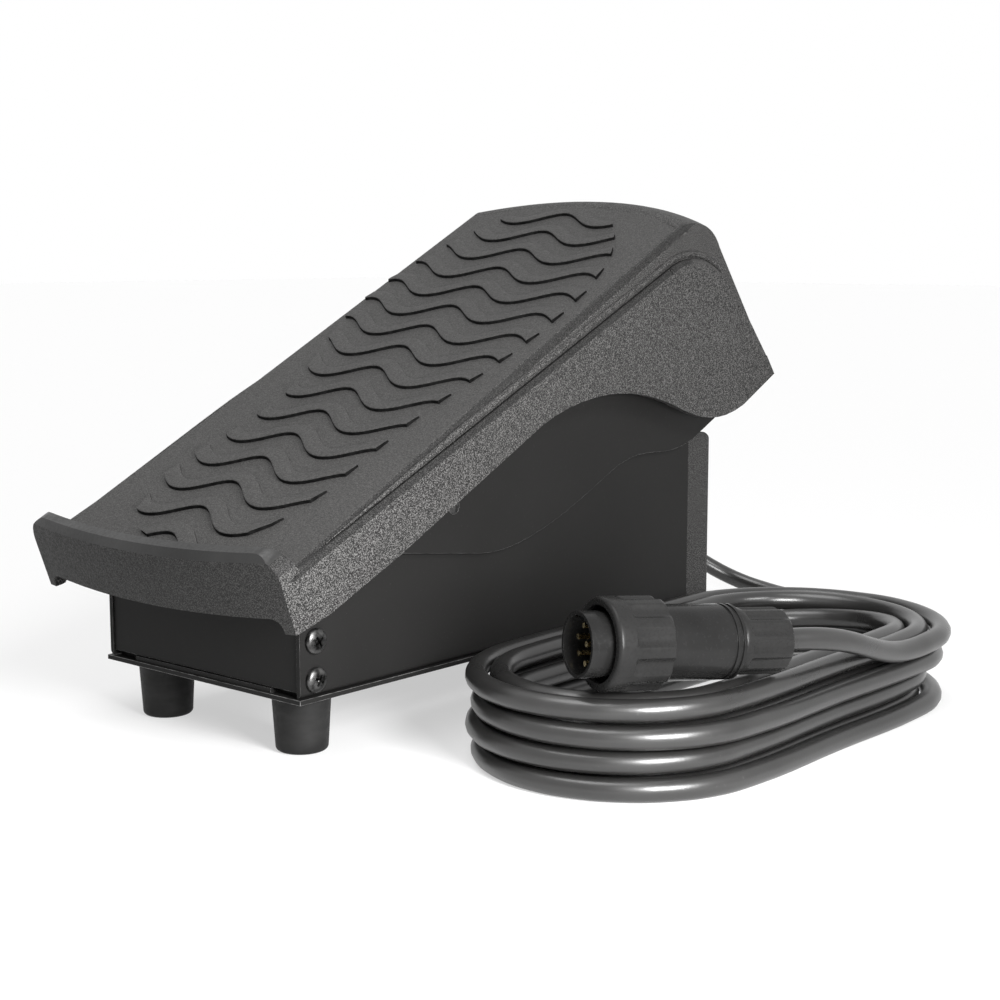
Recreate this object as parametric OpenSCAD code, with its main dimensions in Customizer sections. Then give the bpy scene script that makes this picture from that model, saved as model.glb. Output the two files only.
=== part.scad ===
// Foot pedal that sets a welding power source's current, with its coiled cable and connector.
// The heel end points to -Y and the toe end to +Y. The feet stand on Z = 0.

/* [Pedal cover] */
// Overall width of the cover, over the side panels
pedal_w = 121; // [112:0.5:130]
// Length of the cover along the tread, from the lip's foot to the crown of the toe
pedal_l = 260; // [250:1:275]
// Depth of the cover at the toe, square to the tread
toe_h = 78; // [70:1:82]
// Angle of the tread when the pedal is released
tread_angle = 27.3; // [24:0.1:30]
// Angle that the pedal turns through when it is pressed down
travel_angle = 15; // [10:0.5:16]
// Wall thickness of the moulded cover
cover_wall = 3; // [2:0.1:3.5]
// Plan radius of the toe
toe_r = 138; // [120:1:160]
// Height of the heel lip over the tread
lip_h = 9.2; // [6:0.1:12]
// Thickness of the heel lip
lip_t = 6.5; // [4:0.1:8]
// Number of wavy ribs on the tread
rib_count = 17; // [10:1:18]
// Height of a tread rib
rib_h = 1.1; // [0.6:0.1:1.6]
// Width of a tread rib
rib_w = 6.2; // [4:0.1:8]

/* [Chassis] */
// Room between a chassis side and the outer face of the cover beside it
side_room = 13.5; // [12:0.5:16]
// Length of the chassis, without the end cap
chassis_l = 204; // [196:1:208]
// Length of the end cap behind the chassis
cap_l = 16; // [12:0.5:20]
// Height of the end cap's top over the floor
chassis_top = 86; // [80:0.5:90]
// Thickness of the chassis and frame sheet
sheet = 1.5; // [1:0.1:2]
// Thickness of the bottom plate
plate_t = 1.6; // [1:0.1:2.5]
// Height of a foot
foot_h = 18.9; // [14:0.1:24]
// Largest diameter of a foot
foot_d = 19; // [15:0.5:22]

/* [Hinge] */
// Distance of the hinge behind the chassis front
hinge_y = 22; // [20:0.5:24]
// Height of the hinge over the floor
hinge_z = 66; // [65:0.5:68]
// Diameter of the hinge pin
pin_d = 6; // [5:0.1:7]
// Radius of the stop slots about the hinge
stop_r = 45; // [42:0.5:48]

/* [Return spring] */
// Outside diameter of the return spring
spring_d = 18; // [15:0.5:19]
// Diameter of the spring wire
spring_wire_d = 2.2; // [1.6:0.1:2.6]
// Number of turns of the return spring
spring_turns = 10; // [8:1:11]
// Distance of the spring behind the chassis front
spring_y = 88; // [84:0.5:90]

/* [Sensor drive] */
// Tooth module of the sector and its pinion
gear_module = 1.25; // [1.2:0.01:1.3]
// Number of teeth of the pinion
pinion_teeth = 12; // [11:1:13]
// Number of teeth of the sector, if it were a whole wheel
wheel_teeth = 144; // [138:1:146]
// Width of the gear teeth
gear_t = 3; // [2:0.1:3.4]

/* [Cable] */
// Diameter of the cable
cable_d = 7; // [6:0.1:7.5]
// Least clear space between neighbouring turns of the coil
coil_gap = 0.6; // [0.5:0.05:1]
// Outer radius of the coil's bends, to the middle of the cable
coil_r = 48.5; // [44:0.5:52]
// Length of the coil's straight runs
coil_straight = 100; // [80:1:110]
// Number of layers in the coil
coil_layers = 4; // [2:2:4]
// Number of turns in each layer
layer_turns = 2; // [2:1:3]

/* [Connector] */
// Length of the connector
plug_l = 68; // [62:0.5:74]
// Diameter of the coupling ring over its grips
ring_d = 27.5; // [25:0.1:29]
// Diameter of the connector's body
barrel_d = 22.5; // [20:0.1:23]
// Number of contact pins
contact_count = 8; // [5:1:9]

/* [Hidden] */
$fn = 64;

// Clearances and overruns
cut = 1;
fit = 0.05;
seat = 0.3;
hole_gap = 0.15;

// Levels over the floor, and the chassis walls
chassis_w = pedal_w - 2 * side_room;
plate_top = foot_h + plate_t;
floor_z = plate_top + sheet;
wall_out = chassis_w / 2;
wall_in = wall_out - sheet;

// The tread's own axes: s runs along the tread and n stands square to it
hinge_s = 34.6;
hinge_depth = 13.6;
half_w = pedal_w / 2;
block_step = 2.7;
block_half = half_w - block_step;
block_round = 1.5;
skirt_front_share = [[-0.062, -0.169], [-0.019, -0.213], [0.03, -0.24], [0.157, -0.259]];
skirt_dip_share = [[0.454, -0.264], [0.546, -0.286], [0.635, -0.423], [0.704, -0.654]];
skirt_toe_share = [[0.704, -0.654], [0.746, -0.795], [0.781, -0.962], [0.869, -0.996]];
skirt_end_share = [[0.869, -0.996], [0.965, -1]];
toe_x_share = -0.205;
toe_round = 17.5;
toe_flare = 9.5;
toe_s = pedal_l - toe_r;
toe_x = toe_x_share * half_w;
lip_r = 330;
lip_bow = 10;
lip_lean_share = 0.14;
lip_low_share = 0.25;
lip_bevel = 2;
lip_s = lip_r - lip_bow;

// Side panels of the cover
ledge_heel = 0.1;
ledge_drop = 9;
panel_r = 33.2;
panel_toe_l = 53;
panel_s = pedal_l - panel_toe_l;
panel_bevel = 1.6;
panel_tail_share = [[0.11, 0.29], [1.1, 0.42]];
inner_toe_shift = 10;

// Wavy ribs, and the outline of the sole that they fill
rib_first = 243.2;
rib_last = 4.4;
rib_pitch = (rib_first - rib_last) / (rib_count - 1);
rib_wave_l = 44.5;
rib_wave_h = 4.8;
rib_wave_x = 5;
rib_skew_share = 0.093;
rib_steps = 12;
rib_root = 0.5;
sole_left_share = [[-0.1, 0.024], [-0.33, 0.034], [-0.54, 0.065], [-0.78, 0.156], [-0.745, 0.208],
  [-0.63, 0.244], [-0.56, 0.296], [-0.54, 0.35], [-0.635, 0.42], [-0.78, 0.5], [-0.89, 0.565],
  [-0.93, 0.627], [-0.935, 0.69], [-0.9, 0.746], [-0.82, 0.8], [-0.72, 0.85], [-0.6, 0.89],
  [-0.3, 0.92]];
sole_right_share = [[0.2, 0.91], [0.4, 0.869], [0.55, 0.827], [0.69, 0.773], [0.77, 0.723],
  [0.83, 0.665], [0.845, 0.604], [0.842, 0.546], [0.815, 0.492], [0.765, 0.435], [0.71, 0.38],
  [0.66, 0.323], [0.635, 0.269], [0.624, 0.215], [0.62, 0.158], [0.515, 0.088], [0.15, 0.031]];

// Pedal frame
frame_gap = 1.3;
frame_in = wall_out + frame_gap;
frame_out = frame_in + sheet;
frame_bend = 3;
frame_top = cover_wall;
frame_under = cover_wall + sheet;
nose_r = 6.5;
frame_rise_share = [[0.15, -0.256], [0.308, -0.622]];
frame_dip_share = [[0.308, -0.622], [0.358, -0.737], [0.431, -0.801], [0.577, -0.812]];
frame_step_share = [[0.577, -0.812], [0.7, -0.814], [0.692, -1.032], [0.815, -1.038]];
frame_low_share = 1.04;
frame_end_l = 32;
frame_slope_l = 8;
frame_end_s = pedal_l - frame_end_l;
frame_top_s = frame_end_s - frame_slope_l;
curve_steps = 10;

// Screws from the frame into the cover
cover_screw_r = 1.5;
cover_screw_head_r = 4.5;
cover_screw_head_h = 1.6;
cover_screw_depth = 2;
cover_screw_inset = 10.3;
cover_screw_x = frame_in - cover_screw_inset;
cover_screw_s_share = [0.27, 0.79];

// Hinge
pin_r = pin_d / 2;
bush_wall = 1.5;
bush_r = pin_r + bush_wall;
bush_flange_w = 3.5;
bush_flange_r = pin_r + bush_flange_w;
bush_flange_t = 1;
bush_inner_l = 1;
clip_t = 0.9;
clip_w = 2.5;
clip_r = pin_r + clip_w;
clip_groove = 0.6;
clip_gap = 0.1;
pin_stub = 2.4;
pin_end = frame_out + pin_stub;

// Stops
stud_d = 5;
stud_r = stud_d / 2;
stud_rest = 8.9;
stud_inset = 0.2;
stud_in = 2.5;
slot_gap = 0.1;
slot_end = 0.3;
slot_step = 0.05;

// Chassis side walls
wall_nose_drop = 6;
wall_nose_h = hinge_z - wall_nose_drop;
ear_h = 7;
ear_half_l = 12;
corner_r = 3;
bend_r = 2;
notch_l = 12;
notch_w = 3;

// Side screws
side_screw_r = 2;
side_screw_y = 6.1;
side_screw_z = [25.8, 38];
side_head_r = 4;
side_head_h = 2.4;
side_screw_l = 8;
recess_w = 0.9;
recess_l = 4.2;
recess_h = 1.5;
head_dome_share = 1.6;

// Front panel
panel_set = 0.6;
panel_drop = 8;
panel_top = hinge_z - panel_drop;
panel_lug = 12;
panel_gap = 0.2;
panel_foot = 0.3;

// Bottom plate
plate_over = 0.8;
plate_rear_set = 2;

// End cap
cap_wall = 2.5;
cap_round = 7.5;
cap_edge_r = 3;
cap_spigot = 8;
cap_gap = 0.15;
cap_rib_pitch = 3;
cap_rib_depth = 0.7;
cap_rib_rise = 8;
cap_rib_drop = 10;
cap_rib_low = floor_z + cap_rib_rise;
cap_rib_high = chassis_top - cap_rib_drop;
cap_boss_r = 4.5;
cap_boss_h = 12;
cap_screw_r = 1.6;
cap_screw_inset = 23.5;
cap_screw_x = wall_in - cap_screw_inset;
cap_head_r = 3.6;
cap_head_h = 2.2;
cap_screw_l = 12;

// Feet
foot_inset = 13.6;
foot_x = wall_out - foot_inset;
foot_front_y = 12.9;
foot_rear_set = 13;
foot_rear_y = chassis_l - foot_rear_set;
foot_taper = 1.1;
foot_edge = 1.5;
foot_recess_r = 5;
foot_recess_h = 11;
foot_screw_r = 2.5;
foot_head_r = 4.4;
foot_head_h = 3;
foot_nut_r = 4.6;
foot_nut_h = 4;
foot_screw_out = 1.5;

// Return spring and its seats
spring_r = (spring_d - spring_wire_d) / 2;
seat_gap = 0.3;
seat_edge = 1.2;
seat_peg_gap = 0.6;
seat_flange_r = spring_d / 2 + seat_edge;
seat_peg_r = spring_d / 2 - spring_wire_d - seat_peg_gap;
seat_base_h = 2;
seat_peg_h = 8;
seat_flange_h = 1.5;
spring_foot = floor_z + seat_base_h;
spring_drop = 6.3;
spring_head = frame_low_z(spring_y) - spring_drop;
spring_ring_steps = 12;
spring_sides = 6;

// Sensor drive
sector_r = gear_module * wheel_teeth / 2;
pinion_r = gear_module * pinion_teeth / 2;
pressure_angle = 25;
tooth_play = 0.14;
gear_x = 12;
gear_mid_gap = 0.15;
pot_y = hinge_y + sector_r + pinion_r + gear_mid_gap;
sector_low = -4.5;
sector_rim = 6;
sector_flange_w = 16;
sector_flange_t = 2;
sector_web_s = [62, 88];
sector_web_teeth = [0.3, 1.3, 2.3, 3.3, 4.3];
sector_tip_share = 0.8;
sector_root_share = 1.2;
pinion_tip_share = 0.9;
pinion_root_share = 1.15;
flank_steps = 4;
rivet_r = 2;
rivet_head_r = 3.5;
rivet_head_h = 1.2;
rivet_inset = 6;
pinion_over = 0.3;
pinion_x = gear_x - pinion_over;
pinion_t = gear_t + 2 * pinion_over;
shaft_r = 3;
shaft_inner_l = 5;
pot_bracket_x = 19;
pot_body_r = 12;
pot_body_l = 12.5;
pot_bush_r = 4.5;
pot_bush_l = 4.6;
pot_nut_r = 7;
pot_nut_t = 2.3;
pot_lug_w = 10;
pot_lug_t = 1.2;
pot_lug_l = 7;
bracket_half_l = 14;
bracket_foot_l = 14;

// Start switch
switch_inset = 15.5;
switch_x = switch_inset - wall_in;
switch_w = 10;
switch_y = 44;
switch_l = 28;
switch_h = 13;
lever_y = 70;
lever_l = 30;
lever_rise = 10;
lever_boss_rise = 2.5;
roller_gap = 0.86;
lever_t = 0.8;
lever_w = 6;
lever_boss_r = 1.8;
lever_pin_r = 0.8;
roller_r = 2.2;
roller_w = 4;
roller_y = lever_y - lever_l * cos(lever_rise);
lever_z = frame_low_z(roller_y) - roller_gap - roller_r - lever_l * sin(lever_rise);
switch_z = lever_z - lever_boss_rise - switch_h;
plunger_r = 1.3;
plunger_h = 1.1;
plunger_y = 56;
switch_screw_r = 1.4;
switch_screw_inset = 4;
switch_head_r = 2.7;
switch_head_h = 1.8;
switch_foot_l = 12;

// Cable gland
gland_inset = 20.5;
gland_x = gland_inset - wall_in;
gland_z = 35;
gland_r = 8;
gland_bore_r = cable_d / 2 + fit;
gland_hex_r = 12;
gland_hex_t = 5;
gland_thread_l = 8;
gland_nut_r = 11.5;
gland_nut_l = 15;
gland_hex_share = 0.6;
gland_cone_share = 0.86;
gland_dome_r = 7;
gland_lock_r = 11;
gland_lock_t = 3.8;
relief_l = 24;
relief_r = 5.6;
relief_end_r = 4.3;
cap_face_y = chassis_l + cap_l;
relief_y = cap_face_y + gland_hex_t + gland_nut_l;
relief_end_y = relief_y + relief_l;

// Coil
coil_side_gap = 3;
cable_r = cable_d / 2;
coil_pitch = cable_d + coil_gap;
coil_x = half_w + coil_side_gap + coil_r + cable_r;
coil_front_y = 20;
coil_low_y = coil_front_y + cable_r + coil_r;
coil_high_y = coil_low_y + coil_straight;
coil_sides = 6;
run_rings = 2;
bend_rings = 10;
loop_rings = 2 * (run_rings + bend_rings);
coil_rings = loop_rings * layer_turns * coil_layers;
layer_rings = loop_rings * layer_turns;
climb_rings = loop_rings / 4;

// Free cable from the gland's sleeve to the coil, as points along its middle
lead_points = [[-25, 264, 35], [-25, 271, 34.6], [-24.5, 280, 32], [-22, 290, 26.5], [-17, 299, 19.5],
  [-9, 306.5, 12.5], [2, 311.5, 7.2], [16, 313, 4.3], [31, 310, 3.5], [45, 302, 3.5], [56, 290, 3.5],
  [64, 276, 3.5], [70, 261, 3.5], [77, 246, 3.5], [86, 233, 3.5], [97, 224, 3.5], [108.5, 220.5, 3.5]];
// Free cable from the top of the coil to the connector
tail_points = [[122.5, 220.5, 26.3], [131, 218.5, 26.3], [144.5, 211.5, 26.3], [155.5, 201, 26.3],
  [163, 187.5, 26.3], [165.8, 172, 26.3], [166.2, 160, 26.4], [166.4, 150, 27.4], [166.8, 140, 29.6],
  [167.2, 130, 32.6], [167.2, 120.5, 35.6], [166.2, 111.5, 37.9], [163.7, 103.1, 39.3],
  [159.6, 94.1, 39.9]];
lead_sides = 8;

// Connector, along its own axis from the pins' end
plug_turn = 65.7;
plug_dip = 4.3;
plug_side = 21.5;
plug_back = 24;
plug_lift = 0.45;
coil_top = cable_d + (coil_layers - 1) * coil_pitch;
ring_mid_at = [coil_x + plug_side, coil_front_y + plug_back, coil_top + ring_d / 2 + plug_lift];
ring_start = 6.5;
ring_l = 18.7;
ring_end = ring_start + ring_l;
ring_mid = ring_start + ring_l / 2;
sleeve_r = 9.6;
sleeve_wall = 1.1;
sleeve_step = 0.2;
sleeve_deep = 9;
ring_bore_l = 8;
ring_flutes = 10;
flute_r = 3.4;
flute_out = 2;
flute_start_share = 0.3;
back_flute_share = 0.7;
ring_edge = 1.2;
barrel_r = barrel_d / 2;
barrel_groove = 0.5;
barrel_groove_w = 1;
back_nut_l = 18;
back_nut_r = 10;
back_step = 1.5;
back_grip_l = 14;
back_collar_l = 3;
back_flutes = 12;
back_start = plug_l - back_nut_l;
seal_l = 3;
insert_r = sleeve_r - sleeve_wall - fit;
insert_l = 4;
contact_r = 0.9;
contact_l = 6;
contact_ring_r = 5.6;

// Frame of the whole part: its middle along Y lies at Y = 0
function tread_y(s, n) = hinge_y + (s - hinge_s) * cos(tread_angle) - (n + hinge_depth) * sin(tread_angle);
front_y = tread_y(lip_lean_share * (lip_h - lip_bevel) - lip_bow, lip_h - lip_bevel);
rear_y = tread_y(toe_s + toe_r + toe_flare, -toe_h);
mid_y = (front_y + rear_y) / 2;

// Height of the frame's underside over the floor at a place along the chassis
function frame_low_z(y) = hinge_z + (hinge_depth - frame_under) / cos(tread_angle)
  + (y - hinge_y) * tan(tread_angle);

module placed() {
  translate([0, -mid_y, 0]) children();
}

// Moves children from the tread's axes to the chassis' axes
module on_tread() {
  placed() translate([0, hinge_y, hinge_z]) rotate([tread_angle, 0, 0])
    translate([0, -hinge_s, hinge_depth]) children();
}

// Extrudes a drawing of the side view across the width
module across(width) {
  rotate([90, 0, 90]) linear_extrude(height = width, center = true) children();
}

// Extrudes a drawing of the side view from one x to another
module across_from(x0, x1) {
  translate([x0, 0, 0]) rotate([90, 0, 90]) linear_extrude(height = x1 - x0) children();
}

// Cylinder along X between two places
module x_rod(r, x0, x1) {
  translate([x0, 0, 0]) rotate([0, 90, 0]) cylinder(h = x1 - x0, r = r);
}

// Cylinder along Y between two places
module y_rod(r, y0, y1) {
  translate([0, y0, 0]) rotate([-90, 0, 0]) cylinder(h = y1 - y0, r = r);
}

// Children on both sides of the part
module both_sides() {
  children();
  mirror([1, 0, 0]) children();
}

function on_curve(p, t) = pow(1 - t, 3) * p[0] + 3 * t * pow(1 - t, 2) * p[1]
  + 3 * t * t * (1 - t) * p[2] + pow(t, 3) * p[3];
function curve(p) = [for (i = [0 : curve_steps - 1]) on_curve(p, i / curve_steps)];
function sized(shares) = [for (p = shares) [p[0] * pedal_l, p[1] * toe_h]];

// Lower edge of the side panels, from heel to toe
function skirt_edge() = concat(sized(skirt_front_share), curve(sized(skirt_dip_share)),
  curve(sized(skirt_toe_share)), sized(skirt_end_share));

module skirt_region(top) {
  far = pedal_l + toe_h;
  polygon(concat(skirt_edge(), [[far, -toe_h], [far, top], [-lip_bow - lip_t, top]]));
}

// Side view of a panel, drawn in by an inset for its inside
module panel_view(inset, shift) {
  s1 = panel_s + shift;
  low = -toe_h - lip_t - toe_r;
  mid_n = -ledge_drop - panel_r;
  tail = [for (p = panel_tail_share) [s1 + panel_r - inset + p[0] * panel_r, mid_n - p[1] * panel_r]];
  polygon(concat([[-lip_bow - lip_t, low], [-lip_bow - lip_t, -ledge_heel - inset],
    [0, -ledge_heel - inset], [s1, -ledge_drop - inset], [s1, mid_n], [s1 + panel_r - inset, mid_n]],
    tail, [[tail[1][0], low]]));
  intersection() {
    translate([s1, mid_n]) circle(r = panel_r - inset, $fn = 96);
    translate([s1, mid_n]) square(panel_r);
  }
}

// Everything inside the plan outline of the toe, drawn in by an inset
module toe_limit(inset) {
  deep = toe_h + lip_t;
  flare_at = toe_flare * (deep - toe_round) / (toe_h - toe_round);
  translate([toe_x, toe_s, 0]) rotate_extrude($fn = 180) {
    polygon([[0, -inset], [toe_r - toe_round, -inset], [toe_r - toe_round, -toe_round],
      [toe_r - inset, -toe_round], [toe_r + flare_at - inset, -deep], [0, -deep]]);
    intersection() {
      translate([toe_r - toe_round, -toe_round]) circle(r = toe_round - inset, $fn = 64);
      translate([toe_r - toe_round, -toe_round]) square(toe_round);
    }
  }
  translate([-half_w, -lip_t - lip_bow, -deep]) cube([pedal_w, toe_s + lip_t + lip_bow, deep - inset]);
}

// Everything behind the lip's bowed front, drawn in by an inset
module front_limit(inset) {
  deep = toe_h + lip_t;
  translate([0, lip_s, -deep])
    cylinder(h = deep, r1 = lip_r - inset + deep * lip_lean_share, r2 = lip_r - inset, $fn = 180);
}

// Section of the raised tread block, extruded along the tread
module block_bar(inset) {
  half = block_half - inset;
  deep = toe_h + lip_t;
  rotate([90, 0, 0]) translate([0, 0, -pedal_l - toe_h]) linear_extrude(height = pedal_l + 2 * toe_h) {
    translate([-half, -deep]) square([2 * half, deep - inset - block_round]);
    translate([block_round - half, -deep]) square([2 * (half - block_round), deep - inset]);
    for (side = [-1, 1])
      translate([side * (half - block_round), -inset - block_round]) circle(r = block_round);
  }
}

module panel_slab(inset, side) {
  shift = side < 0 ? inner_toe_shift : 0;
  x0 = side < 0 ? inset - half_w : 0;
  across_from(x0, x0 + half_w - inset) panel_view(inset, shift);
}

module panel_bevels(side) {
  shift = side < 0 ? inner_toe_shift : 0;
  s1 = panel_s + shift;
  slope = atan((ledge_drop - ledge_heel) / s1);
  translate([side * half_w, 0, -ledge_heel]) rotate([-slope, 0, 0]) translate([0, s1 / 2, 0])
    rotate([0, 45, 0]) cube([panel_bevel * sqrt(2), s1, panel_bevel * sqrt(2)], center = true);
  translate([side * half_w, s1, -ledge_drop - panel_r]) rotate([90, 0, 90])
    rotate_extrude(angle = 90, $fn = 96) translate([panel_r, 0]) rotate(45)
      square(panel_bevel * sqrt(2), center = true);
}

module lip_bar() {
  lean = lip_lean_share;
  low = toe_h * lip_low_share;
  intersection() {
    translate([0, lip_s, 0]) rotate(-102) rotate_extrude(angle = 24, $fn = 360) polygon([
      [lip_r + lean * low, -low],
      [lip_r - lean * (lip_h - lip_bevel), lip_h - lip_bevel],
      [lip_r - lean * lip_h - lip_bevel, lip_h],
      [lip_r - lip_t, lip_h],
      [lip_r - lip_t - lip_bevel / 2, lip_bevel / 2],
      [lip_r - lip_t - lip_bevel, 0],
      [lip_r - lip_t - lip_bevel, -rib_root],
      [lip_r - cover_wall, -rib_root],
      [lip_r - cover_wall + lean * low, -low]]);
    across(pedal_w) skirt_region(lip_h + cut);
  }
}

function rib_front(k, x) = rib_first - k * rib_pitch - rib_skew_share * x
  + rib_wave_h * cos(360 * (x + rib_wave_x) / rib_wave_l);

module tread_ribs() {
  step = rib_wave_l / rib_steps;
  count = floor(half_w / step);
  sole = [for (p = concat(sole_left_share, sole_right_share)) [p[0] * block_half, p[1] * pedal_l]];
  translate([0, 0, -rib_root]) linear_extrude(height = rib_root + rib_h) intersection() {
    polygon(sole);
    for (k = [0 : rib_count - 1])
      polygon(concat([for (i = [-count : count]) [i * step, rib_front(k, i * step)]],
        [for (i = [count : -1 : -count]) [i * step, rib_front(k, i * step) + rib_w]]));
  }
}

module cover_screw_places() {
  for (x = [-cover_screw_x, cover_screw_x])
    for (share = cover_screw_s_share)
      translate([x, share * pedal_l, 0]) children();
}

module pedal_cover() {
  color([0.16, 0.16, 0.165]) on_tread() difference() {
    union() {
      intersection() {
        union() {
          block_bar(0);
          difference() {
            union() {
              panel_slab(0, 1);
              panel_slab(0, -1);
            }
            panel_bevels(1);
            panel_bevels(-1);
          }
        }
        across(pedal_w) skirt_region(cut);
        toe_limit(0);
        front_limit(lip_bevel / 2);
      }
      lip_bar();
      tread_ribs();
    }
    intersection() {
      union() {
        block_bar(cover_wall);
        panel_slab(cover_wall, 1);
        panel_slab(cover_wall, -1);
      }
      toe_limit(cover_wall);
      front_limit(cover_wall + lip_bevel / 2);
    }
    cover_screw_places() translate([0, 0, -cover_wall - cut])
      cylinder(h = cut + cover_screw_depth, r = cover_screw_r + fit);
  }
}

// Side view of the frame, with its nose round the hinge
module frame_view() {
  low = concat(sized(frame_rise_share), curve(sized(frame_dip_share)), curve(sized(frame_step_share)));
  polygon(concat([[hinge_s - nose_r, -hinge_depth], [hinge_s, -hinge_depth - nose_r]], low,
    [[frame_end_s, -frame_low_share * toe_h], [frame_end_s, -frame_top - corner_r * 4],
    [frame_top_s, -frame_top], [hinge_s - nose_r, -frame_top]]));
  translate([hinge_s, -hinge_depth]) circle(r = nose_r);
}

module stud_place(r) {
  a = stud_rest - tread_angle;
  translate([0, hinge_s + r * cos(a), r * sin(a) - hinge_depth]) children();
}

module pedal_frame() {
  deep = frame_low_share * toe_h + cut;
  color([0.1, 0.1, 0.105]) on_tread() difference() {
    intersection() {
      across(2 * frame_out) frame_view();
      rotate([90, 0, 0]) translate([0, 0, -pedal_l]) linear_extrude(height = pedal_l) difference() {
        union() {
          translate([-frame_out, -deep]) square([2 * frame_out, deep - frame_top - frame_bend]);
          translate([frame_bend - frame_out, -deep])
            square([2 * (frame_out - frame_bend), deep - frame_top]);
          for (side = [-1, 1])
            translate([side * (frame_out - frame_bend), -frame_top - frame_bend])
              circle(r = frame_bend);
        }
        inner = frame_bend - sheet;
        translate([-frame_in, -deep - cut]) square([2 * frame_in, deep + cut - frame_top - frame_bend]);
        translate([inner - frame_in, -deep - cut])
          square([2 * (frame_in - inner), deep + cut - frame_under]);
        for (side = [-1, 1])
          translate([side * (frame_in - inner), -frame_top - frame_bend]) circle(r = inner);
      }
    }
    translate([0, hinge_s, -hinge_depth]) x_rod(pin_r + fit, -half_w, half_w);
    stud_place(stop_r) x_rod(stud_r + fit, -half_w, half_w);
    cover_screw_places() translate([0, 0, -frame_under - cut])
      cylinder(h = sheet + 2 * cut, r = cover_screw_r + hole_gap);
    rivet_places() translate([0, 0, -frame_under - cut]) cylinder(h = sheet + 2 * cut, r = rivet_r + fit);
  }
}

module hinge_pin() {
  groove = frame_out + clip_gap;
  color([0.55, 0.55, 0.56]) on_tread() translate([0, hinge_s, -hinge_depth]) difference() {
    x_rod(pin_r, -pin_end, pin_end);
    both_sides() translate([groove, 0, 0]) rotate([0, 90, 0]) difference() {
      cylinder(h = clip_t + clip_gap, r = pin_r + cut);
      translate([0, 0, -cut]) cylinder(h = clip_t + clip_gap + 2 * cut, r = pin_r - clip_groove);
    }
  }
}

module hinge_clips() {
  groove = frame_out + clip_gap;
  color([0.5, 0.5, 0.5]) on_tread() translate([0, hinge_s, -hinge_depth]) both_sides()
    translate([groove, 0, 0]) rotate([0, 90, 0]) difference() {
      cylinder(h = clip_t, r = clip_r);
      translate([0, 0, -cut]) cylinder(h = clip_t + 2 * cut, r = pin_r - clip_groove + fit);
      translate([0, -clip_groove - pin_r / 2, -cut])
        cube([clip_r + cut, pin_r + 2 * clip_groove, clip_t + 2 * cut]);
    }
}

module at_hinge() {
  placed() translate([0, hinge_y, hinge_z]) children();
}

module hinge_bushes() {
  color([0.85, 0.84, 0.8]) at_hinge() both_sides() difference() {
    union() {
      x_rod(bush_r, wall_in - bush_inner_l, wall_out);
      x_rod(bush_flange_r, wall_out, wall_out + bush_flange_t);
    }
    x_rod(pin_r + fit, wall_in - bush_inner_l - cut, wall_out + bush_flange_t + cut);
  }
}

module cover_screws() {
  color([0.3, 0.3, 0.31]) on_tread() cover_screw_places() {
    translate([0, 0, -frame_under - fit]) cylinder(h = sheet + cover_screw_depth, r = cover_screw_r);
    translate([0, 0, -frame_under - cover_screw_head_h])
      cylinder(h = cover_screw_head_h, r1 = cover_screw_head_r - lip_bevel / 2, r2 = cover_screw_head_r);
  }
}

module stop_studs() {
  color([0.12, 0.12, 0.12]) on_tread() stud_place(stop_r) both_sides()
    x_rod(stud_r, wall_in - stud_in, frame_out - stud_inset);
}

// Half the angle of a tooth at a radius, for a wheel with an involute flank
function invo(a) = tan(a) * 180 / PI - a;
function half_tooth(teeth, r) = let (rp = gear_module * teeth / 2, rb = rp * cos(pressure_angle))
  90 / teeth - tooth_play / rp * 180 / PI + invo(pressure_angle) - invo(acos(min(1, rb / r)));

module gear_tooth(teeth, tip, root) {
  rp = gear_module * teeth / 2;
  base = rp * cos(pressure_angle);
  low = max(base, root);
  radii = [for (i = [0 : flank_steps]) low + (tip - low) * i / flank_steps];
  right = [for (r = radii) let (a = half_tooth(teeth, r)) [r * cos(a), -r * sin(a)]];
  left = [for (i = [flank_steps : -1 : 0]) [right[i][0], -right[i][1]]];
  foot = half_tooth(teeth, low);
  in = root - gear_module / 2;
  polygon(concat([[in * cos(foot), -in * sin(foot)]], right, left, [[in * cos(foot), in * sin(foot)]]));
}

module rivet_places() {
  x = gear_x + sector_flange_w / 2 + gear_t / 2;
  for (s = [sector_web_s[0] + rivet_inset, sector_web_s[1] - rivet_inset])
    translate([x, hinge_s + s, 0]) children();
}

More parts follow.
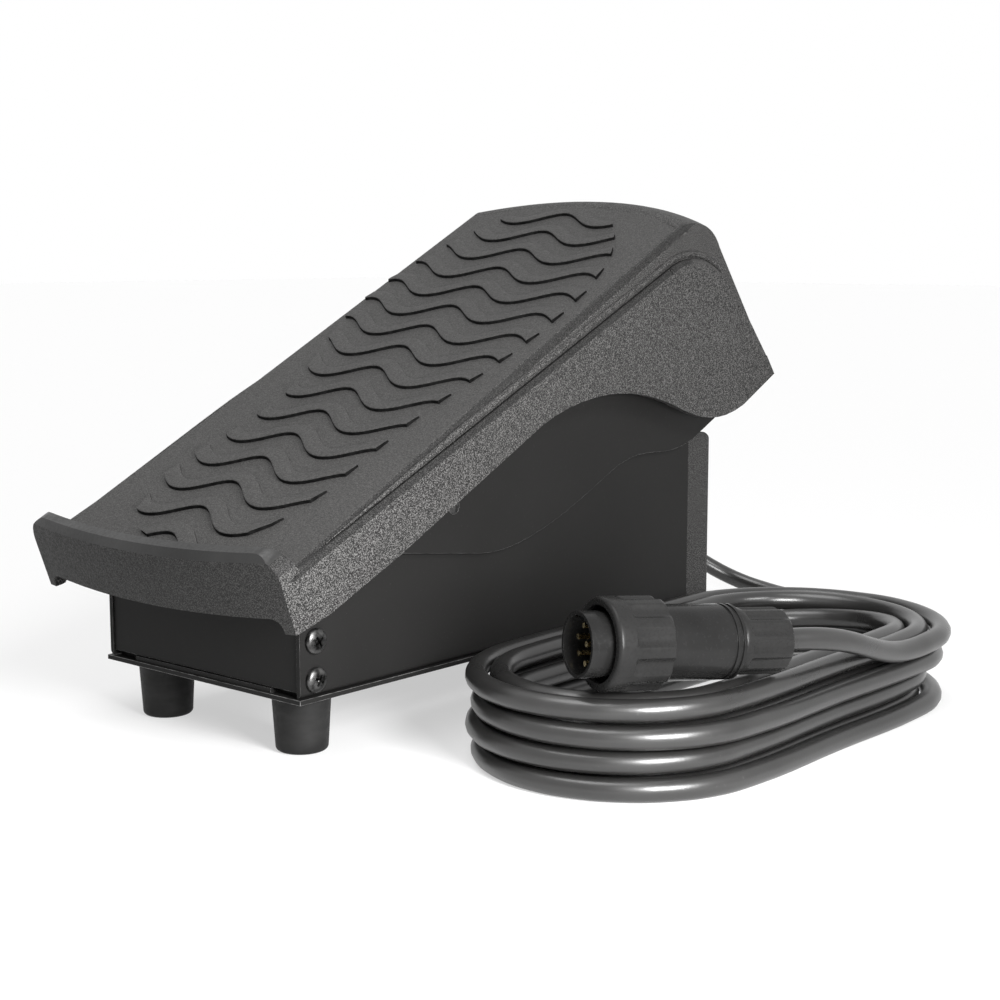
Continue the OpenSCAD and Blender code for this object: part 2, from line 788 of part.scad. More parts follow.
module sector_gear() {
  tip = sector_r + gear_module * sector_tip_share;
  root = sector_r - gear_module * sector_root_share;
  pitch = 360 / wheel_teeth;
  first = floor(sector_low / pitch);
  last = ceil((travel_angle - sector_low) / pitch);
  up = hinge_depth - frame_under;
  color([0.6, 0.6, 0.6]) on_tread() translate([0, hinge_s, -hinge_depth]) {
    across_from(gear_x, gear_x + gear_t) {
      for (k = [first : last])
        rotate(k * pitch + pitch / 2 - tread_angle) gear_tooth(wheel_teeth, tip, root);
      rotate(-tread_angle) polygon(concat(
        [for (k = [first : last + 1]) [root * cos(k * pitch), root * sin(k * pitch)]],
        [for (k = [last + 1 : -1 : first])
          [(root - sector_rim) * cos(k * pitch), (root - sector_rim) * sin(k * pitch)]]));
      a = (last + 1) * pitch - tread_angle;
      mid = root - sector_rim / 2;
      polygon(concat([[sector_web_s[0], up], [sector_web_s[1], up]],
        [for (k = sector_web_teeth) [mid * cos(a - k * pitch), mid * sin(a - k * pitch)]]));
    }
    translate([gear_x, sector_web_s[0], up - sector_flange_t]) difference() {
      cube([sector_flange_w, sector_web_s[1] - sector_web_s[0], sector_flange_t]);
      for (y = [rivet_inset, sector_web_s[1] - sector_web_s[0] - rivet_inset])
        translate([sector_flange_w / 2 + gear_t / 2, y, -cut])
          cylinder(h = sector_flange_t + 2 * cut, r = rivet_r + fit);
    }
  }
}

module sector_rivets() {
  low = -frame_under - sector_flange_t;
  color([0.65, 0.65, 0.65]) on_tread() rivet_places() {
    translate([0, 0, low - fit]) cylinder(h = sector_flange_t + sheet, r = rivet_r);
    translate([0, 0, low - rivet_head_h]) cylinder(h = rivet_head_h, r1 = rivet_r, r2 = rivet_head_r);
  }
}

module spring_seat_upper() {
  color([0.2, 0.2, 0.2]) intersection() {
    placed() translate([0, spring_y, 0]) {
      translate([0, 0, spring_head + seat_gap]) cylinder(h = toe_h, r = seat_flange_r);
      translate([0, 0, spring_head + seat_gap - seat_peg_h]) cylinder(h = toe_h, r = seat_peg_r);
    }
    on_tread() translate([-half_w, 0, -toe_h]) cube([pedal_w, pedal_l, toe_h - frame_under]);
  }
}

// Side view of a chassis wall
module wall_view() {
  difference() {
    polygon([[0, plate_top], [chassis_l, plate_top], [chassis_l, chassis_top],
      [hinge_y + ear_half_l, hinge_z + ear_h], [hinge_y - ear_half_l / 2, hinge_z + ear_h],
      [0, wall_nose_h]]);
    translate([hinge_y, hinge_z]) circle(r = bush_r + fit);
    translate([hinge_y, hinge_z]) stop_slot();
    for (z = side_screw_z)
      translate([side_screw_y, z]) circle(r = side_screw_r + hole_gap);
  }
}

// Slot round the hinge that a stop stud runs in
module stop_slot() {
  r = stud_r + slot_gap;
  spare = slot_end * 180 / PI / stop_r;
  high = stud_rest + spare;
  low = stud_rest - travel_angle - spare;
  far = 2 * stop_r;
  intersection() {
    difference() {
      circle(r = stop_r + r, $fn = 96);
      circle(r = stop_r - r, $fn = 96);
    }
    polygon([[0, 0], [far * cos(low), far * sin(low)], [far * cos(high), far * sin(high)]]);
  }
  for (a = [low, high])
    translate([stop_r * cos(a), stop_r * sin(a)]) circle(r = r - slot_step);
}

module foot_places() {
  for (x = [-foot_x, foot_x])
    for (y = [foot_front_y, foot_rear_y])
      translate([x, y, 0]) children();
}

module cap_screw_places() {
  for (x = [-cap_screw_x, cap_screw_x])
    translate([x, chassis_l - cap_spigot / 2, 0]) children();
}

module chassis() {
  tall = chassis_top - plate_top;
  color([0.1, 0.1, 0.105]) placed() difference() {
    intersection() {
      across(chassis_w) wall_view();
      translate([0, chassis_l, 0]) rotate([90, 0, 0]) linear_extrude(height = chassis_l) difference() {
        union() {
          translate([-wall_out, plate_top + bend_r]) square([chassis_w, tall]);
          translate([bend_r - wall_out, plate_top]) square([chassis_w - 2 * bend_r, tall]);
          for (side = [-1, 1])
            translate([side * (wall_out - bend_r), plate_top + bend_r]) circle(r = bend_r);
        }
        translate([-wall_in, floor_z]) square([2 * wall_in, tall + cut]);
      }
    }
    for (side = [-1, 1])
      translate([side * (wall_in - notch_l / 2) - notch_l / 2, -cut, plate_top - cut])
        cube([notch_l, notch_w + cut, sheet + 2 * cut]);
    foot_places() translate([0, 0, plate_top - cut])
      cylinder(h = sheet + 2 * cut, r = foot_screw_r + hole_gap);
    cap_screw_places() translate([0, 0, plate_top - cut])
      cylinder(h = sheet + 2 * cut, r = cap_screw_r + hole_gap);
  }
}

module front_panel() {
  half = wall_in - panel_gap;
  low = floor_z + panel_foot;
  color([0.1, 0.1, 0.105]) placed() difference() {
    translate([-half, panel_set, low]) cube([2 * half, sheet + panel_lug, panel_top - low]);
    translate([sheet - half, panel_set + sheet, low - cut])
      cube([2 * (half - sheet), panel_lug + cut, panel_top - low + 2 * cut]);
    for (z = side_screw_z)
      translate([0, side_screw_y, z]) x_rod(side_screw_r + fit, -wall_out, wall_out);
  }
}

module bottom_plate() {
  rear = chassis_l + cap_l - plate_rear_set;
  color([0.12, 0.12, 0.125]) placed() difference() {
    translate([-wall_out - plate_over, -plate_over, foot_h])
      cube([chassis_w + 2 * plate_over, rear + plate_over, plate_t]);
    foot_places() translate([0, 0, foot_h - cut])
      cylinder(h = plate_t + 2 * cut, r = foot_screw_r + hole_gap);
    cap_screw_places() translate([0, 0, foot_h - cut])
      cylinder(h = plate_t + 2 * cut, r = cap_screw_r + hole_gap);
  }
}

// Side view of the end cap, drawn in by an inset and run on to the front for its inside
module cap_view(inset) {
  y0 = chassis_l - inset;
  y1 = chassis_l + cap_l - inset;
  z1 = chassis_top - inset;
  r = cap_round - inset;
  translate([y0, plate_top + inset]) square([y1 - y0, z1 - r - plate_top - inset]);
  translate([y0, plate_top + inset]) square([y1 - r - y0, z1 - plate_top - inset]);
  translate([y1 - r, z1 - r]) circle(r = r);
}

// Plan of the end cap, with rounded rear corners
module cap_plan(inset) {
  half = wall_out - inset;
  y1 = chassis_l + cap_l - inset;
  r = cap_edge_r;
  translate([-half, chassis_l - cut]) square([2 * half, y1 - r - chassis_l + cut]);
  translate([r - half, chassis_l - cut]) square([2 * (half - r), y1 - chassis_l + cut]);
  for (side = [-1, 1])
    translate([side * (half - r), y1 - r]) circle(r = r);
}

module rear_cap() {
  y1 = chassis_l + cap_l;
  z0 = floor_z + cap_gap;
  half = wall_in - cap_gap;
  tall = chassis_top - cap_gap - cap_wall;
  color([0.19, 0.19, 0.19]) placed() difference() {
    union() {
      difference() {
        intersection() {
          across(chassis_w) cap_view(0);
          linear_extrude(height = 2 * chassis_top) cap_plan(0);
        }
        intersection() {
          across(chassis_w - 2 * cap_wall) cap_view(cap_wall);
          linear_extrude(height = 2 * chassis_top) cap_plan(cap_wall);
        }
        for (z = [cap_rib_low : cap_rib_pitch : cap_rib_high])
          translate([-chassis_w, y1 + cap_rib_depth, z]) rotate([45, 0, 0])
            cube([2 * chassis_w, 2 * cap_rib_depth, 2 * cap_rib_depth]);
      }
      difference() {
        translate([-half, chassis_l - cap_spigot, z0]) cube([2 * half, cap_spigot + cap_wall, tall - z0]);
        translate([cap_wall - half, chassis_l - cap_spigot - cut, z0 + cap_wall])
          cube([2 * (half - cap_wall), cap_spigot + cap_l, tall]);
      }
      cap_screw_places() translate([0, 0, z0]) cylinder(h = cap_boss_h, r = cap_boss_r);
    }
    cap_screw_places() translate([0, 0, z0 - cut]) cylinder(h = cap_screw_l + cut, r = cap_screw_r + fit);
    translate([gland_x, 0, gland_z]) y_rod(gland_r + fit, y1 - cap_wall - cut, y1 + cut);
  }
}

module rubber_feet() {
  top_r = foot_d / 2;
  low_r = top_r - foot_taper;
  color([0.07, 0.07, 0.07]) placed() foot_places() difference() {
    rotate_extrude() {
      polygon([[0, 0], [low_r - foot_edge, 0], [low_r, foot_edge], [top_r, foot_h], [0, foot_h]]);
      intersection() {
        translate([low_r - foot_edge, foot_edge]) circle(r = foot_edge);
        square(top_r);
      }
    }
    translate([0, 0, -cut]) cylinder(h = foot_recess_h + cut, r = foot_recess_r);
    cylinder(h = foot_h + cut, r = foot_screw_r + hole_gap);
  }
}

// Pan head with a cross recess, its shank along +Z and its head below
module cross_screw(shank_r, shank_l, head_r, head_h) {
  dome_r = head_r * head_dome_share;
  cylinder(h = shank_l, r = shank_r);
  difference() {
    intersection() {
      translate([0, 0, -head_h]) cylinder(h = head_h, r = head_r);
      translate([0, 0, dome_r - head_h]) sphere(r = dome_r);
    }
    for (a = [0, 90])
      rotate(a) translate([-recess_l / 2, -recess_w / 2, -head_h - cut])
        cube([recess_l, recess_w, recess_h + cut]);
  }
}

module foot_screws() {
  up = floor_z + foot_nut_h + foot_screw_out - foot_recess_h;
  color([0.55, 0.55, 0.56]) placed() foot_places() translate([0, 0, foot_recess_h])
    cross_screw(foot_screw_r, up, foot_head_r, foot_head_h);
}

module foot_nuts() {
  color([0.6, 0.6, 0.61]) placed() foot_places() translate([0, 0, floor_z]) difference() {
    cylinder(h = foot_nut_h, r = foot_nut_r, $fn = 6);
    translate([0, 0, -cut]) cylinder(h = foot_nut_h + 2 * cut, r = foot_screw_r + fit);
  }
}

module side_screws() {
  color([0.08, 0.08, 0.08]) placed() both_sides() for (z = side_screw_z)
    translate([wall_out, side_screw_y, z]) rotate([0, -90, 0])
      cross_screw(side_screw_r, side_screw_l, side_head_r, side_head_h);
}

module cap_screws() {
  color([0.3, 0.3, 0.31]) placed() cap_screw_places() translate([0, 0, foot_h])
    cross_screw(cap_screw_r, plate_t + sheet + cap_screw_l - cut, cap_head_r, cap_head_h);
}

// Tube through points, with rings square to its path
function unit(v) = v / norm(v);
function way(p, i) = let (n = len(p))
  unit(p[min(i + 1, n - 1)] - p[max(i - 1, 0)]);
function ring_of(p, i, r, sides) = let (t = way(p, i), u = unit(cross(t, [0, 0, 1])), v = cross(u, t))
  [for (j = [0 : sides - 1]) p[i] + r * (cos(360 * j / sides) * u + sin(360 * j / sides) * v)];

module swept(p, r, sides) {
  n = len(p);
  points = concat([for (i = [0 : n - 1]) each ring_of(p, i, r, sides)], [p[0], p[n - 1]]);
  last = n * sides;
  wall = [for (i = [0 : n - 2]) for (j = [0 : sides - 1]) let (
    a = i * sides + j, b = i * sides + (j + 1) % sides, c = b + sides, d = a + sides)
    each [[a, d, b], [b, d, c]]];
  start = [for (j = [0 : sides - 1]) [last, j, (j + 1) % sides]];
  end = [for (j = [0 : sides - 1]) [last + 1, (n - 1) * sides + (j + 1) % sides, (n - 1) * sides + j]];
  polyhedron(points = points, faces = concat(wall, start, end));
}

// Middle of the spring wire: closed turns at both ends and open ones between
function spring_rise(t) = let (free = spring_head - spring_foot - 3 * spring_wire_d,
  open = spring_turns - 2, up = t - spring_turns + 1)
  t < 1 ? t * spring_wire_d
  : up > 0 ? (1 + up) * spring_wire_d + free
  : spring_wire_d + free * (t - 1) / open;
function spring_path() = [for (i = [0 : spring_turns * spring_ring_steps]) let (t = i / spring_ring_steps)
  [spring_r * cos(360 * t), spring_r * sin(360 * t), spring_foot + spring_wire_d / 2 + spring_rise(t)]];

module return_spring() {
  color([0.6, 0.6, 0.62]) placed() translate([0, spring_y, 0])
    swept(spring_path(), spring_wire_d / 2, spring_sides);
}

module spring_seat_lower() {
  color([0.2, 0.2, 0.2]) placed() translate([0, spring_y, floor_z]) {
    cylinder(h = seat_base_h - fit, r = seat_flange_r);
    cylinder(h = seat_base_h + seat_peg_h, r = seat_peg_r);
  }
}

module at_pot() {
  placed() translate([0, pot_y, hinge_z]) children();
}

module pot_bracket() {
  x0 = pot_bracket_x;
  color([0.62, 0.62, 0.63]) difference() {
    placed() {
      across_from(x0, x0 + sheet) {
        translate([pot_y - bracket_half_l, floor_z]) square([2 * bracket_half_l, hinge_z - floor_z]);
        translate([pot_y, hinge_z]) circle(r = bracket_half_l);
      }
      translate([x0, pot_y - bracket_half_l, floor_z]) cube([bracket_foot_l, 2 * bracket_half_l, sheet]);
    }
    at_pot() x_rod(pot_bush_r + fit, x0 - cut, x0 + sheet + cut);
  }
}

module potentiometer() {
  x0 = pot_bracket_x + sheet;
  bush_x = pot_bracket_x - pot_bush_l + sheet;
  color([0.12, 0.2, 0.3]) at_pot() difference() {
    union() {
      x_rod(pot_body_r, x0, x0 + pot_body_l);
      x_rod(pot_bush_r, bush_x, x0);
      for (i = [-1 : 1])
        translate([x0 + pot_body_l / 2, i * pot_body_r / 2 - pot_lug_t / 2, -pot_body_r - pot_lug_l])
          cube([pot_lug_t, pot_lug_t * 2, pot_lug_l + pot_body_r / 2]);
    }
    x_rod(shaft_r + fit, bush_x - cut, x0 + shaft_inner_l + fit);
  }
}

module pot_nut() {
  x1 = pot_bracket_x;
  color([0.7, 0.7, 0.7]) at_pot() translate([x1 - pot_nut_t, 0, 0]) rotate([0, 90, 0]) difference() {
    cylinder(h = pot_nut_t, r = pot_nut_r, $fn = 6);
    translate([0, 0, -cut]) cylinder(h = pot_nut_t + 2 * cut, r = pot_bush_r + fit);
  }
}

module pot_shaft() {
  color([0.7, 0.7, 0.7]) at_pot() x_rod(shaft_r, pinion_x - seat, pot_bracket_x + sheet + shaft_inner_l);
}

module pinion() {
  tip = pinion_r + gear_module * pinion_tip_share;
  root = pinion_r - gear_module * pinion_root_share;
  pitch = 360 / pinion_teeth;
  color([0.9, 0.88, 0.8]) at_pot() across_from(pinion_x, pinion_x + pinion_t) difference() {
    union() {
      circle(r = root);
      for (k = [0 : pinion_teeth - 1]) rotate(180 + k * pitch) gear_tooth(pinion_teeth, tip, root);
    }
    circle(r = shaft_r + fit / 2);
  }
}

module switch_screw_places() {
  for (y = [switch_y + switch_screw_inset, switch_y + switch_l - switch_screw_inset])
    translate([0, y, switch_z + switch_screw_inset]) children();
}

module switch_bracket() {
  x0 = switch_x - sheet;
  color([0.62, 0.62, 0.63]) placed() difference() {
    union() {
      translate([x0, switch_y, floor_z]) cube([sheet, switch_l, switch_z + switch_h - floor_z - corner_r]);
      translate([x0, switch_y, floor_z]) cube([switch_foot_l, switch_l, sheet]);
    }
    switch_screw_places() x_rod(switch_screw_r + hole_gap, x0 - cut, x0 + sheet + cut);
  }
}

module microswitch() {
  x1 = switch_x + switch_w;
  ear = (switch_w - lever_w) / 2;
  top = switch_z + switch_h;
  color([0.08, 0.08, 0.09]) placed() difference() {
    union() {
      translate([switch_x, switch_y, switch_z]) cube([switch_w, switch_l, switch_h]);
      translate([switch_x + switch_w / 2, plunger_y, top - cut])
        cylinder(h = cut + plunger_h, r = plunger_r);
      for (x = [switch_x, x1 - ear])
        translate([x, lever_y, 0]) across_from(0, ear - seat) {
          translate([-lever_boss_r, top - cut]) square([2 * lever_boss_r, lever_z - top + cut]);
          translate([0, lever_z]) circle(r = lever_boss_r);
        }
      for (i = [1 : 3])
        translate([switch_x + switch_w / 2 - lever_t, switch_y + switch_l * i / 4, switch_z - pot_lug_l])
          cube([lever_t, 2 * pot_lug_t, pot_lug_l + cut]);
    }
    switch_screw_places() x_rod(switch_screw_r + hole_gap, switch_x - cut, x1 + cut);
    translate([0, lever_y, lever_z]) x_rod(lever_pin_r + fit, switch_x - cut, x1 + cut);
  }
}

module switch_screws() {
  color([0.7, 0.7, 0.7]) placed() switch_screw_places() translate([switch_x + switch_w, 0, 0])
    rotate([0, -90, 0]) cross_screw(switch_screw_r, switch_w + 2 * sheet, switch_head_r, switch_head_h);
}

module switch_lever() {
  mid = switch_x + switch_w / 2;
  half = lever_w / 2 - seat;
  color([0.75, 0.75, 0.76]) placed() translate([mid, lever_y, lever_z]) rotate([-lever_rise, 0, 0]) {
    x_rod(lever_pin_r, -switch_w / 2, switch_w / 2);
    difference() {
      union() {
        x_rod(lever_boss_r - seat, -half, half);
        translate([-half, -lever_l, -lever_t / 2]) cube([2 * half, lever_l, lever_t]);
      }
      translate([-roller_w / 2 - seat / 2, -lever_l - cut, -lever_t])
        cube([roller_w + seat, roller_r + 2 * cut, 2 * lever_t]);
    }
    translate([0, -lever_l, 0]) {
      x_rod(roller_r, -roller_w / 2, roller_w / 2);
      x_rod(lever_pin_r, -half, half);
    }
  }
}

module at_gland() {
  placed() translate([gland_x, 0, gland_z]) children();
}

module gland_body() {
  y1 = cap_face_y;
  color([0.09, 0.09, 0.09]) at_gland() difference() {
    union() {
      y_rod(gland_r, y1 - cap_wall - gland_lock_t - cut, y1);
      translate([0, y1, 0]) rotate([-90, 0, 0]) cylinder(h = gland_hex_t, r = gland_hex_r, $fn = 6);
      y_rod(gland_r, y1 + gland_hex_t, y1 + gland_hex_t + gland_thread_l);
    }
    y_rod(gland_bore_r, y1 - 2 * gland_r, y1 + gland_hex_t + gland_thread_l + cut);
  }
}

module gland_nut() {
  y1 = cap_face_y + gland_hex_t;
  hex_l = gland_nut_l * gland_hex_share;
  color([0.09, 0.09, 0.09]) at_gland() difference() {
    union() {
      translate([0, y1, 0]) rotate([-90, 0, 0]) cylinder(h = hex_l, r = gland_nut_r, $fn = 6);
      translate([0, y1 + hex_l, 0]) rotate([-90, 0, 0])
        cylinder(h = gland_nut_l - hex_l, r1 = gland_nut_r * gland_cone_share, r2 = gland_dome_r);
    }
    y_rod(gland_r + fit, y1 - cut, y1 + gland_thread_l + fit);
    y_rod(gland_bore_r, y1, y1 + gland_nut_l + cut);
  }
}

module gland_locknut() {
  y1 = cap_face_y - cap_wall;
  color([0.09, 0.09, 0.09]) at_gland() difference() {
    translate([0, y1 - gland_lock_t, 0]) rotate([-90, 0, 0])
      cylinder(h = gland_lock_t, r = gland_lock_r, $fn = 6);
    y_rod(gland_r + fit, y1 - gland_lock_t - cut, y1 + cut);
  }
}

module strain_relief() {
  color([0.07, 0.07, 0.07]) at_gland() {
    translate([0, relief_y, 0]) rotate([-90, 0, 0])
      cylinder(h = relief_l, r1 = relief_r, r2 = relief_end_r);
    y_rod(cable_r, cap_face_y - cap_wall - gland_lock_t - cut, relief_y);
  }
}

// Points of a free cable, moved so that its ends stay at two places
function pinned(p, a, b) = let (n = len(p) - 1)
  [for (i = [0 : n]) p[i] + (1 - i / n) * (a - p[0]) + i / n * (b - p[n])];

module cord_lead() {
  start = [gland_x, relief_end_y, gland_z];
  color([0.05, 0.05, 0.05]) placed() swept(pinned(lead_points, start, coil_path()[0]), cable_r, lead_sides);
}

// Middle of the coiled cable at a ring: runs and bends in turn, drawn in or out along each layer
function lane(i) = let (k = floor(i / layer_rings), f = (i - k * layer_rings) / loop_rings)
  k % 2 == 0 ? f : layer_turns - f;
function level(i) = let (k = round(i / layer_rings), d = i - k * layer_rings)
  k == 0 || k == coil_layers || abs(d) > climb_rings ? floor(i / layer_rings - (i == coil_rings ? 1 : 0))
  : k - 0.5 + sin(90 * d / climb_rings) / 2;
function coil_at(i) = let (r = coil_r - lane(i) * coil_pitch, j = i % loop_rings,
  j1 = bend_rings / 2, j2 = j1 + run_rings, j3 = j2 + bend_rings, j4 = j3 + run_rings,
  a = j < j1 ? 90 - 180 * j / bend_rings : j < j2 ? 0 : j < j3 ? -180 * (j - j2) / bend_rings
    : j < j4 ? -180 : -180 - 180 * (j - j4) / bend_rings,
  y = j < j1 || j >= j4 ? coil_high_y : j < j2 ? coil_high_y - coil_straight * (j - j1) / run_rings
    : j < j3 ? coil_low_y : coil_low_y + coil_straight * (j - j3) / run_rings)
  [coil_x + r * cos(a), y + r * sin(a), cable_r + level(i) * coil_pitch];
function coil_path() = concat([coil_at(0) - [cable_d, 0, 0]], [for (i = [0 : coil_rings]) coil_at(i)],
  [coil_at(coil_rings) + [cable_d, 0, 0]]);

// Least distance between stretches of the coil that lie a half turn or more apart
function coil_least(p) = let (n = len(p)) min([for (i = [0 : n - 2]) for (j = [i + loop_rings / 2 : n - 2])
  stretch_gap(p[i], p[i + 1], p[j], p[j + 1])]);
function stretch_gap(a, b, c, d) = min([for (s = [0 : 0.25 : 1]) for (t = [0 : 0.25 : 1])
  norm(a + (b - a) * s - c - (d - c) * t)]);

module cord_coil() {
  path = coil_path();
  echo(coil_clear = coil_least(path) - cable_d);
  color([0.05, 0.05, 0.05]) placed() swept(path, cable_r, coil_sides);
}

// Place on the connector's axis at a distance from its pins' end
function plug_at(w) = ring_mid_at + (w - ring_mid)
  * [cos(plug_dip) * cos(plug_turn), cos(plug_dip) * sin(plug_turn), -sin(plug_dip)];

module cord_tail() {
  path = coil_path();
  points = pinned(tail_points, path[len(path) - 1], plug_at(plug_l + seal_l));
  color([0.05, 0.05, 0.05]) placed() swept(points, cable_r, lead_sides);
}

// Moves children from the connector's own axis, its pins' end at zero, to where it lies
module on_plug() {
  placed() translate(ring_mid_at) rotate([0, 90 + plug_dip, plug_turn])
    translate([0, 0, -ring_mid]) children();
}

module plug_barrel() {
  color([0.08, 0.08, 0.08]) on_plug() difference() {
    union() {
      cylinder(h = ring_start, r = sleeve_r);
      cylinder(h = back_start, r = sleeve_r - sleeve_step);
      translate([0, 0, ring_start + ring_bore_l])
        cylinder(h = back_start - ring_start - ring_bore_l, r = barrel_r);
    }
    translate([0, 0, -cut]) cylinder(h = sleeve_deep + insert_l + cut, r = sleeve_r - sleeve_wall);
    translate([0, 0, -cut]) cylinder(h = back_start + 2 * cut, r = cable_r + fit);
    for (z = [back_start - barrel_groove_w * 2, back_start - barrel_groove_w * 4])
      translate([0, 0, z]) difference() {
        cylinder(h = barrel_groove_w, r = barrel_r + cut);
        translate([0, 0, -cut]) cylinder(h = barrel_groove_w + 2 * cut, r = barrel_r - barrel_groove);
      }
  }
}

module plug_insert() {
  color([0.1, 0.1, 0.1]) on_plug() translate([0, 0, sleeve_deep]) difference() {
    cylinder(h = insert_l, r = insert_r);
    contact_places() translate([0, 0, -cut]) cylinder(h = insert_l + 2 * cut, r = contact_r + fit);
  }
}

module contact_places() {
  for (k = [0 : contact_count - 2])
    rotate(360 * k / (contact_count - 1)) translate([contact_ring_r, 0, 0]) children();
  children();
}

module plug_pins() {
  color([0.75, 0.72, 0.6]) on_plug() contact_places() translate([0, 0, sleeve_deep - contact_l])
    cylinder(h = contact_l + insert_l - cut, r = contact_r - fit);
}

module coupling_ring() {
  r = ring_d / 2;
  bore = barrel_r + fit;
  color([0.08, 0.08, 0.08]) on_plug() translate([0, 0, ring_start]) difference() {
    rotate_extrude() polygon([[bore, 0], [bore, ring_l], [r - ring_edge, ring_l],
      [r, ring_l - ring_edge], [r, ring_edge], [r - ring_edge, 0]]);
    for (k = [0 : ring_flutes - 1])
      rotate(360 * k / ring_flutes) translate([r + flute_out, 0, ring_l * flute_start_share])
        cylinder(h = ring_l, r = flute_r);
  }
}

module back_nut() {
  r = back_nut_r;
  color([0.08, 0.08, 0.08]) on_plug() translate([0, 0, back_start]) difference() {
    union() {
      cylinder(h = back_nut_l, r = r - back_step);
      cylinder(h = back_grip_l, r = r);
    }
    translate([0, 0, -cut]) cylinder(h = back_nut_l + 2 * cut, r = cable_r + 2 * fit + sleeve_wall);
    for (k = [0 : back_flutes - 1])
      rotate(360 * k / back_flutes) translate([r + flute_out * back_flute_share, 0, back_collar_l])
        cylinder(h = back_nut_l, r = flute_r * back_flute_share);
  }
}

module plug_seal() {
  color([0.05, 0.05, 0.05]) on_plug() translate([0, 0, back_start + fit])
    cylinder(h = back_nut_l + seal_l - fit, r = cable_r + sleeve_wall);
}

pedal_cover();
pedal_frame();
hinge_pin();
hinge_clips();
hinge_bushes();
cover_screws();
stop_studs();
sector_gear();
sector_rivets();
spring_seat_upper();
chassis();
front_panel();
bottom_plate();
rear_cap();
rubber_feet();
foot_screws();
foot_nuts();
side_screws();
cap_screws();
return_spring();
spring_seat_lower();
pot_bracket();
potentiometer();
pot_nut();
pot_shaft();
pinion();
switch_bracket();
microswitch();
switch_screws();
switch_lever();
gland_body();
gland_nut();
gland_locknut();
strain_relief();
cord_lead();
cord_coil();
cord_tail();
plug_barrel();
plug_insert();
plug_pins();
coupling_ring();
back_nut();
plug_seal();
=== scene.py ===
import math

import bmesh
import bpy
from mathutils import Matrix, Vector


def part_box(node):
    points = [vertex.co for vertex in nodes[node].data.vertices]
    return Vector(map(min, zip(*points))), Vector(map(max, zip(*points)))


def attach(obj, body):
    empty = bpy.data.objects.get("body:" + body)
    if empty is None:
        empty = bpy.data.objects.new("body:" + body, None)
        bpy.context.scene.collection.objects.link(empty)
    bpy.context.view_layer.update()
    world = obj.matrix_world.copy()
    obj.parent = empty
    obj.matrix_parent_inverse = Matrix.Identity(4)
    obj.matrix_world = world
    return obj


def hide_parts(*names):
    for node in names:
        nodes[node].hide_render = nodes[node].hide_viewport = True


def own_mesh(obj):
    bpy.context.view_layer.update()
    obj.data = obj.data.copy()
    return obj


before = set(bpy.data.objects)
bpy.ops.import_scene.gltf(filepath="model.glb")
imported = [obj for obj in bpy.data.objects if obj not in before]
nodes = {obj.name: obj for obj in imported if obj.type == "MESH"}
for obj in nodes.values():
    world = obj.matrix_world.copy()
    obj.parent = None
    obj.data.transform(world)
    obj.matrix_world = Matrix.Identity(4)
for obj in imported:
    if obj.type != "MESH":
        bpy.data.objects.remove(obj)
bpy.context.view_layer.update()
scene = bpy.context.scene
mm = 0.001

# The chassis' own axes: millimetres, its front at y = 0 and the floor at z = 0
midY = -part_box("chassis")[0].y / mm
chassisAxes = Matrix.Diagonal((mm, mm, mm, 1)) @ Matrix.Translation((0, -midY, 0))

# The tread's axes: y runs up the tread and z stands square to it
tread = {"hingeY": 22, "hingeZ": 66, "hingeS": 34.6, "hingeDepth": 13.6, "angle": 27.3,
         "length": 260, "halfWidth": 57.8}
treadAxes = (chassisAxes @ Matrix.Translation((0, tread["hingeY"], tread["hingeZ"]))
             @ Matrix.Rotation(math.radians(tread["angle"]), 4, "X")
             @ Matrix.Translation((0, -tread["hingeS"], tread["hingeDepth"])))

# The connector's axes: z runs from the pins' end to the cable
plug = {"ringMidAt": (137, 44, 44), "turn": 65.7, "dip": 4.3, "ringMid": 15.85, "ringStart": 6.5,
        "backStart": 50}
plugAxes = (chassisAxes @ Matrix.Translation(plug["ringMidAt"])
            @ Matrix.Rotation(math.radians(plug["turn"]), 4, "Z")
            @ Matrix.Rotation(math.radians(90 + plug["dip"]), 4, "Y")
            @ Matrix.Translation((0, 0, -plug["ringMid"])))


print("Camera")
view = {"place": (0.4313, -0.46825, 0.1557), "lookDown": 8.11, "turn": 40.88, "lens": 62.89,
        "sensor": 36}
cameraData = bpy.data.cameras.new("camera")
cameraData.lens = view["lens"]
cameraData.sensor_width = view["sensor"]
camera = bpy.data.objects.new("camera", cameraData)
camera.location = view["place"]
camera.rotation_euler = (math.radians(90 - view["lookDown"]), 0, math.radians(view["turn"]))
scene.collection.objects.link(camera)
scene.camera = camera


print("Cable")
cable = {"diameter": 7, "gap": 0.6, "bendRadius": 48.5, "straight": 100, "layers": 4, "turns": 2,
         "middleX": 115.5, "lowY": 72, "bendPoints": 10, "runPoints": 2, "exit": (-25, 264, 35)}
